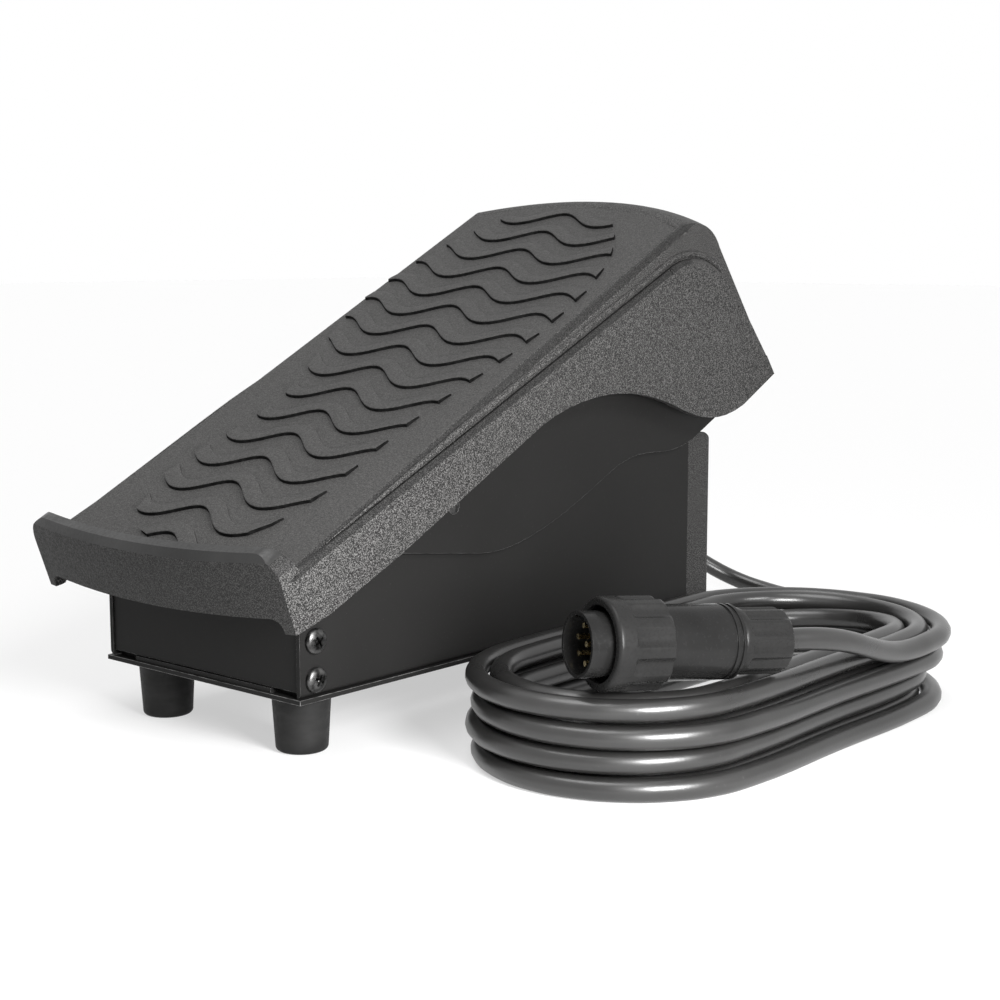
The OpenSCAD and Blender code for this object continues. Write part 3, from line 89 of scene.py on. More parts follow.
# The free cable from the gland to the coil, and the end that rises from the coil to the connector
leadPoints = [(-25, 264, 35), (-25, 271, 34.6), (-24.5, 280, 32), (-22, 290, 26.5), (-17, 299, 19.5),
              (-9, 306.5, 12.5), (2, 311.5, 7.2), (16, 313, 4.3), (31, 310, 3.5), (45, 302, 3.5),
              (56, 290, 3.5), (64, 276, 3.5), (70, 261, 3.5), (77, 246, 3.5), (86, 233, 3.5),
              (97, 224, 3.5), (108.5, 220.5, 3.5)]
tailPoints = [(122.5, 220.5, 26.3), (131, 218.5, 26.3), (144.5, 211.5, 26.3), (155.5, 201, 26.3),
              (163, 187.5, 26.3), (165.8, 172, 26.3), (166.2, 160, 26.4), (166.4, 150, 27.4),
              (166.8, 140, 29.6), (167.2, 130, 32.6), (167.2, 120.5, 35.6), (166.2, 111.5, 37.9),
              (163.7, 103.1, 39.3), (159.6, 94.1, 39.9)]


# The coil: layers of turns that run in and out by turns, each layer one pitch over the last
def coilPoint(i):
    pitch = cable["diameter"] + cable["gap"]
    bend, run = cable["bendPoints"], cable["runPoints"]
    loop = 2 * (bend + run)
    layer = loop * cable["turns"]
    climb = loop / 4
    k, f = i // layer, (i % layer) / loop
    radius = cable["bendRadius"] - (f if k % 2 == 0 else cable["turns"] - f) * pitch
    near, last = round(i / layer), i == layer * cable["layers"]
    off = i - near * layer
    if near in (0, cable["layers"]) or abs(off) > climb:
        level = k - (1 if last else 0)
    else:
        level = near - 0.5 + math.sin(math.pi / 2 * off / climb) / 2
    j = i % loop
    lowY, highY = cable["lowY"], cable["lowY"] + cable["straight"]
    if j < bend / 2 or j >= bend * 1.5 + 2 * run:
        y = highY
        turn = 90 - 180 * j / bend if j < bend / 2 else -180 - 180 * (j - bend * 1.5 - 2 * run) / bend
    elif j < bend / 2 + run:
        y, turn = highY - cable["straight"] * (j - bend / 2) / run, 0
    elif j < bend * 1.5 + run:
        y, turn = lowY, -180 * (j - bend / 2 - run) / bend
    else:
        y, turn = lowY + cable["straight"] * (j - bend * 1.5 - run) / run, -180
    turn = math.radians(turn)
    return (cable["middleX"] + radius * math.cos(turn), y + radius * math.sin(turn),
            cable["diameter"] / 2 + level * pitch)


coilEnd = 2 * (cable["bendPoints"] + cable["runPoints"]) * cable["turns"] * cable["layers"]
route = leadPoints + [coilPoint(i) for i in range(coilEnd + 1)] + tailPoints
route = [chassisAxes @ Vector(p) for p in route]


def smoothCurve(name, points, radius, resolution, sides):
    curve = bpy.data.curves.new(name, "CURVE")
    curve.dimensions = "3D"
    curve.resolution_u = resolution
    curve.bevel_depth = radius
    curve.bevel_resolution = sides
    curve.use_fill_caps = True
    spline = curve.splines.new("BEZIER")
    spline.bezier_points.add(len(points) - 1)
    for bezier, point in zip(spline.bezier_points, points):
        bezier.co = point
        bezier.handle_left_type = bezier.handle_right_type = "AUTO"
    made = bpy.data.objects.new(name, curve)
    scene.collection.objects.link(made)
    return made


def pieceFrom(name, mesh):
    made = bpy.data.objects.new(name, mesh)
    scene.collection.objects.link(made)
    return made


def baked(source, name):
    dg = bpy.context.evaluated_depsgraph_get()
    mesh = bpy.data.meshes.new_from_object(source.evaluated_get(dg), depsgraph=dg)
    mesh.name = name
    bpy.data.objects.remove(source)
    return mesh


cord = pieceFrom("cable", baked(smoothCurve("cable", route, cable["diameter"] / 2 * mm, 5, 5), "cable"))
cord.data.shade_smooth()
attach(cord, "base")
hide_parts("cord_lead", "cord_coil", "cord_tail")


print("Finishes")


def addNode(tree, kind, inputs=None, **settings):
    made = tree.nodes.new(kind)
    for key, value in settings.items():
        setattr(made, key, value)
    for key, value in (inputs or {}).items():
        if isinstance(value, bpy.types.NodeSocket):
            tree.links.new(value, made.inputs[key])
        else:
            made.inputs[key].default_value = value
    return made


def newFinish(name, color, roughness, metallic=0.0, specular=0.5):
    finish = bpy.data.materials.new(name)
    finish.use_nodes = True
    tree = finish.node_tree
    shader = tree.nodes["Principled BSDF"]
    shader.inputs["Base Color"].default_value = (*color, 1)
    shader.inputs["Roughness"].default_value = roughness
    shader.inputs["Metallic"].default_value = metallic
    shader.inputs["Specular IOR Level"].default_value = specular
    place = tree.nodes.new("ShaderNodeTexCoord").outputs["Object"]
    return finish, tree, shader, place


def noiseAt(tree, place, scale, detail=2.0, stretch=(1, 1, 1)):
    if stretch != (1, 1, 1):
        place = addNode(tree, "ShaderNodeMapping", {"Vector": place, "Scale": stretch}).outputs[0]
    noise = addNode(tree, "ShaderNodeTexNoise", {"Vector": place, "Scale": scale, "Detail": detail})
    return noise.outputs[0]


def toned(tree, factor, stops):
    ramp = tree.nodes.new("ShaderNodeValToRGB")
    tree.links.new(factor, ramp.inputs[0])
    while len(ramp.color_ramp.elements) < len(stops):
        ramp.color_ramp.elements.new(0.5)
    for element, (at, color) in zip(ramp.color_ramp.elements, stops):
        element.position = at
        element.color = (*color, 1)
    return ramp.outputs[0]


def ranged(tree, factor, low, high, start=0.3, end=0.7):
    return addNode(tree, "ShaderNodeMapRange", {
        "Value": factor, "From Min": start, "From Max": end, "To Min": low, "To Max": high}).outputs[0]


def tinted(tree, first, second, factor=1.0, blend="MULTIPLY"):
    mix = addNode(tree, "ShaderNodeMix", data_type="RGBA", blend_type=blend)
    mix.inputs[0].default_value = factor
    tree.links.new(first, mix.inputs[6])
    tree.links.new(second, mix.inputs[7])
    return mix.outputs[2]


def bumped(tree, shader, *layers):
    normal = None
    for height, distance in layers:
        bump = addNode(tree, "ShaderNodeBump", {"Strength": 1.0, "Distance": distance, "Height": height})
        if normal:
            tree.links.new(normal, bump.inputs["Normal"])
        normal = bump.outputs[0]
    tree.links.new(normal, shader.inputs["Normal"])


def grey(value):
    return (value, value * 0.99, value * 0.98)


def faded(color, share):
    return tuple(c * share for c in color)


# Spark-eroded mould grain, with pale specks on its high points
grainSizes = {"grain": 900, "cloud": 14, "speckHeight": 0.00011, "grainHeight": 0.00009,
              "stops": (0.34, 0.5, 0.64), "shine": 0.2}


def mouldedPlastic(name, dark, mid, pale, roughness, fineness):
    finish, tree, shader, place = newFinish(name, grey(mid), roughness, specular=grainSizes["shine"])
    speck = noiseAt(tree, place, fineness, 1)
    grain = noiseAt(tree, place, grainSizes["grain"], 3)
    cloud = noiseAt(tree, place, grainSizes["cloud"], 2)
    specks = toned(tree, speck, list(zip(grainSizes["stops"], (grey(dark), grey(mid), grey(pale)))))
    clouds = toned(tree, cloud, [(0.3, grey(0.9)), (0.7, grey(1.0))])
    tree.links.new(tinted(tree, specks, clouds), shader.inputs["Base Color"])
    tree.links.new(ranged(tree, grain, roughness - 0.08, roughness + 0.1), shader.inputs["Roughness"])
    bumped(tree, shader, (grain, grainSizes["grainHeight"]), (speck, grainSizes["speckHeight"]))
    return finish


# A pattern sets the tones of a surface. A finer grain, where there is one, sets its relief, and its gloss
# too unless that follows the pattern. Dust is pale specks over both.
plainLook = {"metallic": 0.0, "specular": 0.5, "pattern": (60, 3), "stretch": (1, 1, 1), "stops": (0.3, 0.7),
             "grain": None, "gloss": None, "patternGloss": False, "relief": 0, "dust": None,
             "scatter": None}


def surface(name, color, roughness, tones, **own):
    look = {**plainLook, **own}
    finish, tree, shader, place = newFinish(name, color, roughness, look["metallic"], look["specular"])
    pattern = noiseAt(tree, place, *look["pattern"], look["stretch"])
    grain = noiseAt(tree, place, *look["grain"]) if look["grain"] else pattern
    result = toned(tree, pattern, list(zip(look["stops"], tones)))
    if look["dust"]:
        dust = look["dust"]
        specks = toned(tree, noiseAt(tree, place, *dust["pattern"]), [
            (0.0, grey(1.0)), (dust["start"], grey(1.0)), (dust["end"], grey(dust["lift"]))])
        result = tinted(tree, result, specks)
    tree.links.new(result, shader.inputs["Base Color"])
    if look["gloss"]:
        source = pattern if look["patternGloss"] else grain
        tree.links.new(ranged(tree, source, *look["gloss"]), shader.inputs["Roughness"])
    if look["relief"]:
        bumped(tree, shader, (grain, look["relief"]))
    if look["scatter"]:
        shader.inputs["Subsurface Weight"].default_value = look["scatter"]["weight"]
        shader.inputs["Subsurface Scale"].default_value = look["scatter"]["scale"]
    return finish


def plugNylon(name, tone, roughness):
    return surface(name, grey(tone), roughness, (grey(tone * 0.8), grey(tone * 1.3)), specular=0.1,
                   grain=(900, 2), gloss=(roughness - 0.06, roughness + 0.08), relief=0.000005)


def plainMetal(name, color, roughness, scale=300):
    return surface(name, color, roughness, (faded(color, 0.78), color), metallic=1.0, pattern=(scale, 4),
                   gloss=(roughness - 0.08, roughness + 0.1), relief=0.000006)


def gearNylon(name, color):
    return surface(name, color, 0.42, (faded(color, 0.85), color), pattern=(120, 3), gloss=(0.34, 0.5),
                   relief=0.00001, scatter={"weight": 0.1, "scale": 0.001})


# Moulded plastics: dark, middle and pale tone, roughness, fineness of the specks
finishes = {
    "cover": mouldedPlastic("coverPlastic", 0.004, 0.022, 0.12, 0.6, 3200),
    "tread": mouldedPlastic("treadPlastic", 0.03, 0.045, 0.075, 0.6, 2300),
    "cap": mouldedPlastic("capPlastic", 0.004, 0.02, 0.09, 0.6, 2700),
    # A painted shade, darker and smoother, for the tread's fillets and the ledge below them
    "shade": mouldedPlastic("paintedShadePlastic", 0.003, 0.013, 0.045, 0.5, 2900),
    # A painted shade, darker with fainter specks, for the lip's front face
    "front": mouldedPlastic("paintedShadeFrontPlastic", 0.008, 0.019, 0.045, 0.6, 2700),
    "edge": surface("polishedEdge", grey(0.016), 0.34, (grey(0.012), grey(0.024)), specular=0.3,
                    pattern=(60, 2), grain=(900, 2), gloss=(0.28, 0.46), relief=0.00003),
    # A near-black painted shade on the ribs' sides
    "ribSidePaintedShade": surface("ribSidePaintedShade", grey(0.004), 0.7, (grey(0.003), grey(0.01)), specular=0.05,
                       pattern=(500, 3), stops=(0.4, 0.75), relief=0.00002),
    "sheet": surface("powderCoat", grey(0.01), 0.5, (grey(0.009), grey(0.014)), specular=0.08,
                     pattern=(9, 3), grain=(420, 3), gloss=(0.44, 0.56), patternGloss=True, relief=0.000018,
                     dust={"pattern": (1900, 1), "start": 0.7, "end": 0.78, "lift": 1.9}),
    # A painted highlight: a paler, half-metallic colour along the sheet metal's rounded edges
    "sheetEdge": surface("paintedHighlightEdge", grey(0.12), 0.3, (grey(0.06), grey(0.24)), metallic=0.5,
                         pattern=(240, 3), stops=(0.35, 0.65), gloss=(0.26, 0.42)),
    "foot": surface("footRubber", grey(0.013), 0.55, (grey(0.01), grey(0.02)), specular=0.15,
                    pattern=(70, 4), stretch=(1, 1, 3), stops=(0.35, 0.7), grain=(700, 3),
                    gloss=(0.48, 0.62), relief=0.00002),
    "cable": surface("cableRubber", grey(0.012), 0.3, (grey(0.01), grey(0.018)), specular=0.6,
                     pattern=(35, 3), grain=(1100, 3), gloss=(0.26, 0.36), patternGloss=True,
                     relief=0.000022, dust={"pattern": (800, 2), "start": 0.7, "end": 0.76, "lift": 1.8}),
    "plug": plugNylon("plugNylon", 0.008, 0.22),
    "grip": plugNylon("gripNylon", 0.011, 0.28),
    "black": plugNylon("blackNylon", 0.012, 0.45),
    "screw": surface("blackenedSteel", grey(0.05), 0.2, (grey(0.02), grey(0.1)), metallic=0.85,
                     pattern=(500, 3), stops=(0.35, 0.7), gloss=(0.2, 0.4), relief=0.00001),
    "steel": plainMetal("zincSteel", (0.6, 0.6, 0.61), 0.34),
    "spring": plainMetal("springSteel", (0.46, 0.46, 0.47), 0.3, 700),
    "nylon": gearNylon("whiteNylon", (0.74, 0.73, 0.69)),
    "sensor": gearNylon("sensorCase", (0.03, 0.09, 0.26)),
    "contact": plainMetal("contactMetal", (0.86, 0.72, 0.42), 0.22, 900),
}
cord.data.materials.append(finishes["cable"])


def dress(piece, body, replaced):
    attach(piece, body)
    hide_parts(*replaced)
    return piece


def shadeByAngle(mesh, angle):
    mesh.shade_smooth()
    mesh.set_sharp_from_angle(angle=math.radians(angle))


# Merging distance in metres, and angles in degrees
softening = {"merge": 2e-7, "flatAngle": 0.4, "sharpAngle": 38}


# A merged copy of a CAD node, cut where there are cutters, with its edges rounded: width in millimetres
def softened(nodeName, name, width, finishList, segments=2, angle=32, prepare=None, cutters=()):
    mesh = nodes[nodeName].data.copy()
    mesh.name = name
    mesh.materials.clear()
    body = bmesh.new()
    body.from_mesh(mesh)
    bmesh.ops.remove_doubles(body, verts=body.verts, dist=softening["merge"])
    if prepare:
        prepare(body)
    bmesh.ops.dissolve_limit(body, angle_limit=math.radians(softening["flatAngle"]), verts=body.verts,
                             edges=body.edges)
    bmesh.ops.recalc_face_normals(body, faces=body.faces)
    for face in body.faces:
        face.material_index = 0
    body.to_mesh(mesh)
    body.free()
    for finish in finishList:
        mesh.materials.append(finishes[finish])
    piece = pieceFrom(name, mesh)
    for cutter in cutters:
        cut = piece.modifiers.new("cut", "BOOLEAN")
        cut.operation = "DIFFERENCE"
        cut.object = cutter
    if cutters:
        mesh = baked(piece, name)
        piece = pieceFrom(name, mesh)
    shadeByAngle(mesh, softening["sharpAngle"])
    bevel = piece.modifiers.new("rounding", "BEVEL")
    bevel.width = width * mm
    bevel.segments = segments
    bevel.limit_method = "ANGLE"
    bevel.angle_limit = math.radians(angle)
    bevel.use_clamp_overlap = True
    bevel.harden_normals = True
    # The rounded edges take the second finish, which on the sheet metal is a painted highlight
    if len(finishList) > 1:
        bevel.material = 1
    return pieceFrom(name, baked(piece, name))


# Geometry node trees: named inputs, set on the modifier by the socket's identifier
def newTree(name, inputs):
    tree = bpy.data.node_groups.new(name, "GeometryNodeTree")
    tree.interface.new_socket("Geometry", in_out="OUTPUT", socket_type="NodeSocketGeometry")
    tree.interface.new_socket("Geometry", in_out="INPUT", socket_type="NodeSocketGeometry")
    for label, value in inputs.items():
        kind = "Int" if isinstance(value, int) else "Float"
        tree.interface.new_socket(label, in_out="INPUT", socket_type="NodeSocket" + kind)
    tree.interface.new_socket("Material", in_out="INPUT", socket_type="NodeSocketMaterial")
    return tree, tree.nodes.new("NodeGroupInput").outputs, tree.nodes.new("NodeGroupOutput")


def closeTree(tree, result, given, end):
    whole = addNode(tree, "GeometryNodeRealizeInstances", {0: result}).outputs[0]
    whole = addNode(tree, "GeometryNodeSetMaterial", {"Geometry": whole, "Material": given["Material"]})
    tree.links.new(whole.outputs[0], end.inputs[0])


def grown(name, tree, values, finish, base):
    piece = pieceFrom(name, base)
    modifier = piece.modifiers.new("grow", "NODES")
    modifier.node_group = tree
    for socket in tree.interface.items_tree:
        if socket.in_out == "INPUT" and socket.name in values:
            modifier[socket.identifier] = values[socket.name]
        if socket.in_out == "INPUT" and socket.name == "Material":
            modifier[socket.identifier] = finishes[finish]
    return baked(piece, name)


def doMath(tree, operation, first, second=None):
    inputs = {0: first} if second is None else {0: first, 1: second}
    return addNode(tree, "ShaderNodeMath", inputs, operation=operation).outputs[0]


def joinVector(tree, x=0.0, y=0.0, z=0.0):
    return addNode(tree, "ShaderNodeCombineXYZ", {0: x, 1: y, 2: z}).outputs[0]


def inRow(mesh, axes):
    mesh.transform(axes)
    if axes.determinant() < 0:
        mesh.flip_normals()
    return mesh


def quarterTurn(steps):
    return [math.pi / 2 * i / steps for i in range(steps + 1)]


def meshFrom(name, body):
    bmesh.ops.recalc_face_normals(body, faces=body.faces)
    mesh = bpy.data.meshes.new(name)
    body.to_mesh(mesh)
    body.free()
    return mesh


# A closed body through rings that have the same number of points
def lofted(name, outlines):
    body = bmesh.new()
    rings = [[body.verts.new(p) for p in outline] for outline in outlines]
    for near, far in zip(rings, rings[1:]):
        for i in range(len(near)):
            j = (i + 1) % len(near)
            body.faces.new((near[i], near[j], far[j], far[i]))
    body.faces.new(rings[0])
    body.faces.new(rings[-1])
    return meshFrom(name, body)


print("Cover")
cover = {"ribTop": 1.3, "lipClear": 5, "flat": 0.02, "rounding": 0.8, "segments": 3, "bevelAngle": 30}
shellFinishes = ["cover", "edge", "tread", "shade", "front"]


# Takes the ribs off the copy of the cover and closes the tread under them
def clearTread(body):
    toTread = treadAxes.inverted()
    at = {v: toTread @ v.co for v in body.verts}
    raised = [v for v in body.verts
              if cover["flat"] < at[v].z < cover["ribTop"] and at[v].y > cover["lipClear"]]
    top = [f for f in body.faces
           if all(abs(at[v].z) < cover["flat"] for v in f.verts) and not any(v in raised for v in f.verts)]
    bmesh.ops.delete(body, geom=top, context="FACES_ONLY")
    bmesh.ops.delete(body, geom=raised, context="VERTS")
    bare = [e for e in body.edges if not e.link_faces]
    bmesh.ops.delete(body, geom=bare, context="EDGES")
    loose = [v for v in body.verts if not v.link_edges]
    bmesh.ops.delete(body, geom=loose, context="VERTS")
    rim = [e for e in body.edges if e.is_boundary]
    bmesh.ops.holes_fill(body, edges=rim, sides=0)


def treadBlock(name, outlines):
    return pieceFrom(name, inRow(lofted(name, outlines), treadAxes))


lip = {"halfWidth": 60.5, "top": 9.2, "corner": 9, "beyond": 3, "back": 3.6, "front": -25, "steps": 12}
room = {"inset": 4, "round": 4, "top": -11, "depth": 20, "back": -2.2, "front": -30, "steps": 6}
shoulder = {"radii": [(14, 1.55), (95, 3.4), (262, 3.4)], "above": 1, "beyond": 0.02, "steps": 10}
panelEnd = {"outline": [(243.5, -50.2), (248.2, -68.8), (285, -73.7), (285, -44), (243.5, -44)],
            "inside": 57.82, "outside": 66, "farShift": 10}


# What is cut away outside a rounded corner of the lip
def lipCornerCut(side):
    half, top, r, beyond = lip["halfWidth"], lip["top"], lip["corner"], lip["beyond"]
    arc = [(half - r + r * math.sin(a), top - r + r * math.cos(a)) for a in quarterTurn(lip["steps"])]
    outline = [(half - r, top + beyond)] + arc + [(half + beyond, top - r), (half + beyond, top + beyond)]
    return treadBlock("lipCorner", [[(side * x, y, z) for x, z in outline]
                                    for y in (lip["front"], lip["back"])])


# Room under the lip's front face, between the side walls
def lipRoom():
    half, r, top = lip["halfWidth"] - room["inset"], room["round"], room["top"]
    arc = [(half - r + r * math.cos(a), top - r + r * math.sin(a)) for a in quarterTurn(room["steps"])]
    left = [(-x, z) for x, z in reversed(arc)]
    outline = arc + left + [(-half, top - room["depth"]), (half, top - room["depth"])]
    return treadBlock("lipRoom", [[(x, y, z) for x, z in outline] for y in (room["front"], room["back"])])


# The fillet along the tread's edge, which grows from the heel to its full radius
def shoulderCut(side):
    half, above, edge = tread["halfWidth"], shoulder["above"], tread["halfWidth"] + shoulder["beyond"]
    outlines = []
    for y, r in shoulder["radii"]:
        arc = [(half - r + r * math.sin(a), -r + r * math.cos(a)) for a in quarterTurn(shoulder["steps"])]
        outline = [(half - r, above)] + arc + [(edge, -r), (edge, above)]
        outlines.append([(side * x, y, z) for x, z in outline])
    return treadBlock("shoulderCut", outlines)


# The side panel fades into the toe along this line
def panelEndCut(side, shift):
    return treadBlock("panelEnd", [[(side * x, y + shift, z) for y, z in panelEnd["outline"]]
                                   for x in (panelEnd["inside"], panelEnd["outside"])])


cutters = [lipCornerCut(-1), lipCornerCut(1), lipRoom(), panelEndCut(-1, panelEnd["farShift"]),
           panelEndCut(1, 0), shoulderCut(-1), shoulderCut(1)]
shell = softened("pedal_cover", "coverShell", cover["rounding"], shellFinishes, cover["segments"],
                 cover["bevelAngle"], clearTread, cutters)
for cutter in cutters:
    bpy.data.objects.remove(cutter)


# How a face's place and way, in the tread's axes, pick its finish: the fillets and the ledge get a painted
# shade, darker and smoother; the lip's crest and the heel's foot are worn smooth; the lip's front gets a
# painted shade with fainter specks, and the tread is plainer than the sides
pick = {"sideWay": (0.25, 0.96), "upWay": 0.2, "filletLow": -12, "ledgeAt": 57.9, "ledgeWay": 0.9,
        "crestAt": 7.0, "footWay": 0.3, "footTo": 5, "footSide": 50, "frontWay": -0.5, "treadWay": 0.96,
        "toeWay": 0.3}


def pickFinish(place, way):
    side = abs(place.x)
    sideways = pick["sideWay"][0] < abs(way.x) < pick["sideWay"][1]
    if place.z > pick["crestAt"] and way.z > pick["upWay"]:
        return "edge"
    if way.z > pick["footWay"] and 0 < place.y < pick["footTo"] and side > pick["footSide"]:
        return "edge"
    # The fillets and the ledge take the painted shade
    if sideways and way.z > pick["upWay"] and place.z > pick["filletLow"]:
        return "shade"
    if side > pick["ledgeAt"] and way.z > pick["ledgeWay"] and place.z < -cover["flat"]:
        return "shade"
    # The lip's front face takes the painted shade
    if way.y < pick["frontWay"] and place.y < cover["lipClear"]:
        return "front"
    if way.z > pick["treadWay"] and abs(place.z) < cover["flat"] or way.y > pick["toeWay"]:
        return "tread"
    return None


def pickEdges(mesh):
    toTread = treadAxes.inverted()
    turn = toTread.to_3x3()
    for face in mesh.polygons:
        finish = pickFinish(toTread @ face.center, (turn @ face.normal).normalized())
        if finish:
            face.material_index = shellFinishes.index(finish)


pickEdges(shell.data)
dress(shell, "pedal", ["pedal_cover"])

# A rounded strip above the ledge of each side panel, thin at the heel
strip = {"x": 57.85, "above": 1.8, "radius": 1.15, "heelAt": 18, "heelShare": 0.12, "full": 85,
         "ledgeHeel": -0.1, "ledgeToe": -9, "archStart": 207, "archRadius": 33.2, "archTurn": 62, "steps": 14}


# Points along the strip, each with its share of the full thickness
def stripPoints(side, shift):
    heel, thin, steps = strip["heelAt"], strip["heelShare"], strip["steps"]
    start = strip["archStart"] + shift
    points = []
    for i in range(steps + 1):
        y = heel + (start - heel) * i / steps
        ledge = strip["ledgeHeel"] + (strip["ledgeToe"] - strip["ledgeHeel"]) * y / start
        share = min(1, (y - heel) / (strip["full"] - heel))
        thick = thin + (1 - thin) * share
        points.append(((side * strip["x"], y, ledge + strip["above"] * thick), thick))
    reach = strip["archRadius"] + strip["above"]
    for i in range(1, steps + 1):
        turn = math.radians(strip["archTurn"] * i / steps)
        points.append(((side * strip["x"], start + reach * math.sin(turn),
                        strip["ledgeToe"] - strip["archRadius"] + reach * math.cos(turn)), 1))
    return points


for name, side, shift in (("rightStrip", 1, 0), ("leftStrip", -1, panelEnd["farShift"])):
    points = stripPoints(side, shift)
    line = smoothCurve(name, [treadAxes @ Vector(p) for p, thick in points], strip["radius"] * mm, 3, 4)
    for bezier, (p, thick) in zip(line.data.splines[0].bezier_points, points):
        bezier.radius = thick
    stripMesh = baked(line, name)
    stripMesh.materials.clear()
    stripMesh.materials.append(finishes["cover"])
    stripMesh.shade_smooth()
    dress(pieceFrom(name, stripMesh), "pedal", ["pedal_cover"])

# Wavy ribs of the tread, cut to the outline of the sole
ribs = {"Count": 17, "First": 243.2, "Pitch": 14.925, "Skew": 0.093, "Wave Length": 44.5, "Wave Height": 4.8,
        "Wave Shift": 5.0, "Rib Width": 5.9, "Rib Height": 1.0, "Slope": -0.1, "Root": 0.5, "Rounding": 0.45,
        "Half Width": 58.0, "Steps": 110}
ribTrim = {"low": -1.5, "high": 3.0, "middle": 1.9, "roundSteps": 3, "sideWay": 0.5, "sharpAngle": 50}
soleShare = [(-0.15, 0.02), (-0.33, 0.034), (-0.54, 0.065), (-0.69, 0.14), (-0.69, 0.2),
             (-0.61, 0.244), (-0.56, 0.296), (-0.54, 0.35), (-0.635, 0.42), (-0.78, 0.5), (-0.89, 0.565),
             (-0.93, 0.627), (-0.935, 0.69), (-0.9, 0.746), (-0.82, 0.8), (-0.72, 0.85), (-0.6, 0.89),
             (-0.3, 0.92), (0.2, 0.91), (0.4, 0.869), (0.55, 0.827), (0.69, 0.773), (0.77, 0.723),
             (0.83, 0.665), (0.845, 0.604), (0.842, 0.546), (0.815, 0.492), (0.765, 0.435), (0.71, 0.38),
             (0.67, 0.323), (0.655, 0.269), (0.648, 0.215), (0.64, 0.158), (0.6, 0.118), (0.54, 0.082),
             (0.44, 0.055), (0.21, 0.022)]


def soleBlock():
    return lofted("sole", [[(x * tread["halfWidth"], y * tread["length"], z) for x, y in soleShare]
                           for z in (ribTrim["low"], ribTrim["high"])])


def ribTree():
    tree, given, end = newTree("wavyRibs", ribs)
    half = given["Half Width"]
    start = joinVector(tree, doMath(tree, "MULTIPLY", half, -1.0))
    line = addNode(tree, "GeometryNodeCurvePrimitiveLine", {"Start": start, "End": joinVector(tree, half)})
    line = addNode(tree, "GeometryNodeResampleCurve", {"Curve": line.outputs[0], "Count": given["Steps"]})
    x = addNode(tree, "ShaderNodeSeparateXYZ", {0: tree.nodes.new("GeometryNodeInputPosition").outputs[0]})
    x = x.outputs[0]
    phase = doMath(tree, "DIVIDE", doMath(tree, "ADD", x, given["Wave Shift"]), given["Wave Length"])
    wave = doMath(tree, "COSINE", doMath(tree, "MULTIPLY", phase, 2 * math.pi))
    wave = doMath(tree, "MULTIPLY", wave, given["Wave Height"])
    skew = doMath(tree, "MULTIPLY", x, given["Skew"])
    middle = doMath(tree, "DIVIDE", given["Rib Width"], ribTrim["middle"])
    middle = doMath(tree, "ADD", given["First"], middle)
    y = doMath(tree, "ADD", doMath(tree, "SUBTRACT", wave, skew), middle)
    path = addNode(tree, "GeometryNodeSetPosition", {
        "Geometry": line.outputs[0], "Offset": joinVector(tree, 0.0, y)})
    path = addNode(tree, "GeometryNodeSetCurveNormal", {"Curve": path.outputs[0]}, mode="Z_UP")
    tall = doMath(tree, "ADD", given["Rib Height"], given["Root"])
    side = addNode(tree, "GeometryNodeCurvePrimitiveQuadrilateral", {
        "Width": given["Rib Width"], "Height": doMath(tree, "MULTIPLY", tall, 2.0)})
    side = addNode(tree, "GeometryNodeFilletCurve", {
        "Curve": side.outputs[0], "Radius": given["Rounding"], "Count": ribTrim["roundSteps"]},
        mode="POLY")
    side = addNode(tree, "GeometryNodeTransform", {
        "Geometry": side.outputs[0], "Rotation": joinVector(tree, 0.0, 0.0, given["Slope"])})
    body = addNode(tree, "GeometryNodeCurveToMesh", {
        "Curve": path.outputs[0], "Profile Curve": side.outputs[0], "Fill Caps": True})
    down = doMath(tree, "MULTIPLY", given["Root"], -1.0)
    body = addNode(tree, "GeometryNodeSetPosition", {
        "Geometry": body.outputs[0], "Offset": joinVector(tree, 0.0, 0.0, down)})
    step = joinVector(tree, 0.0, doMath(tree, "MULTIPLY", given["Pitch"], -1.0))
    places = addNode(tree, "GeometryNodeMeshLine", {"Count": given["Count"], "Offset": step})
    rows = addNode(tree, "GeometryNodeInstanceOnPoints", {
        "Points": places.outputs[0], "Instance": body.outputs[0]})
    rows = addNode(tree, "GeometryNodeRealizeInstances", {0: rows.outputs[0]})
    trim = addNode(tree, "GeometryNodeMeshBoolean", operation="INTERSECT")
    tree.links.new(rows.outputs[0], trim.inputs["Mesh 2"])
    tree.links.new(given["Geometry"], trim.inputs["Mesh 2"])
    closeTree(tree, trim.outputs[0], given, end)
    return tree


ribMesh = grown("treadRibs", ribTree(), ribs, "tread", soleBlock())
ribMesh.materials.append(finishes["ribSidePaintedShade"])
# The ribs' steep sides take the painted shade
for face in ribMesh.polygons:
    face.material_index = 1 if abs(face.normal.z) < ribTrim["sideWay"] else 0
shadeByAngle(inRow(ribMesh, treadAxes), ribTrim["sharpAngle"])
dress(pieceFrom("treadRibs", ribMesh), "pedal", ["pedal_cover"])


print("Sheet metal, cap and feet")
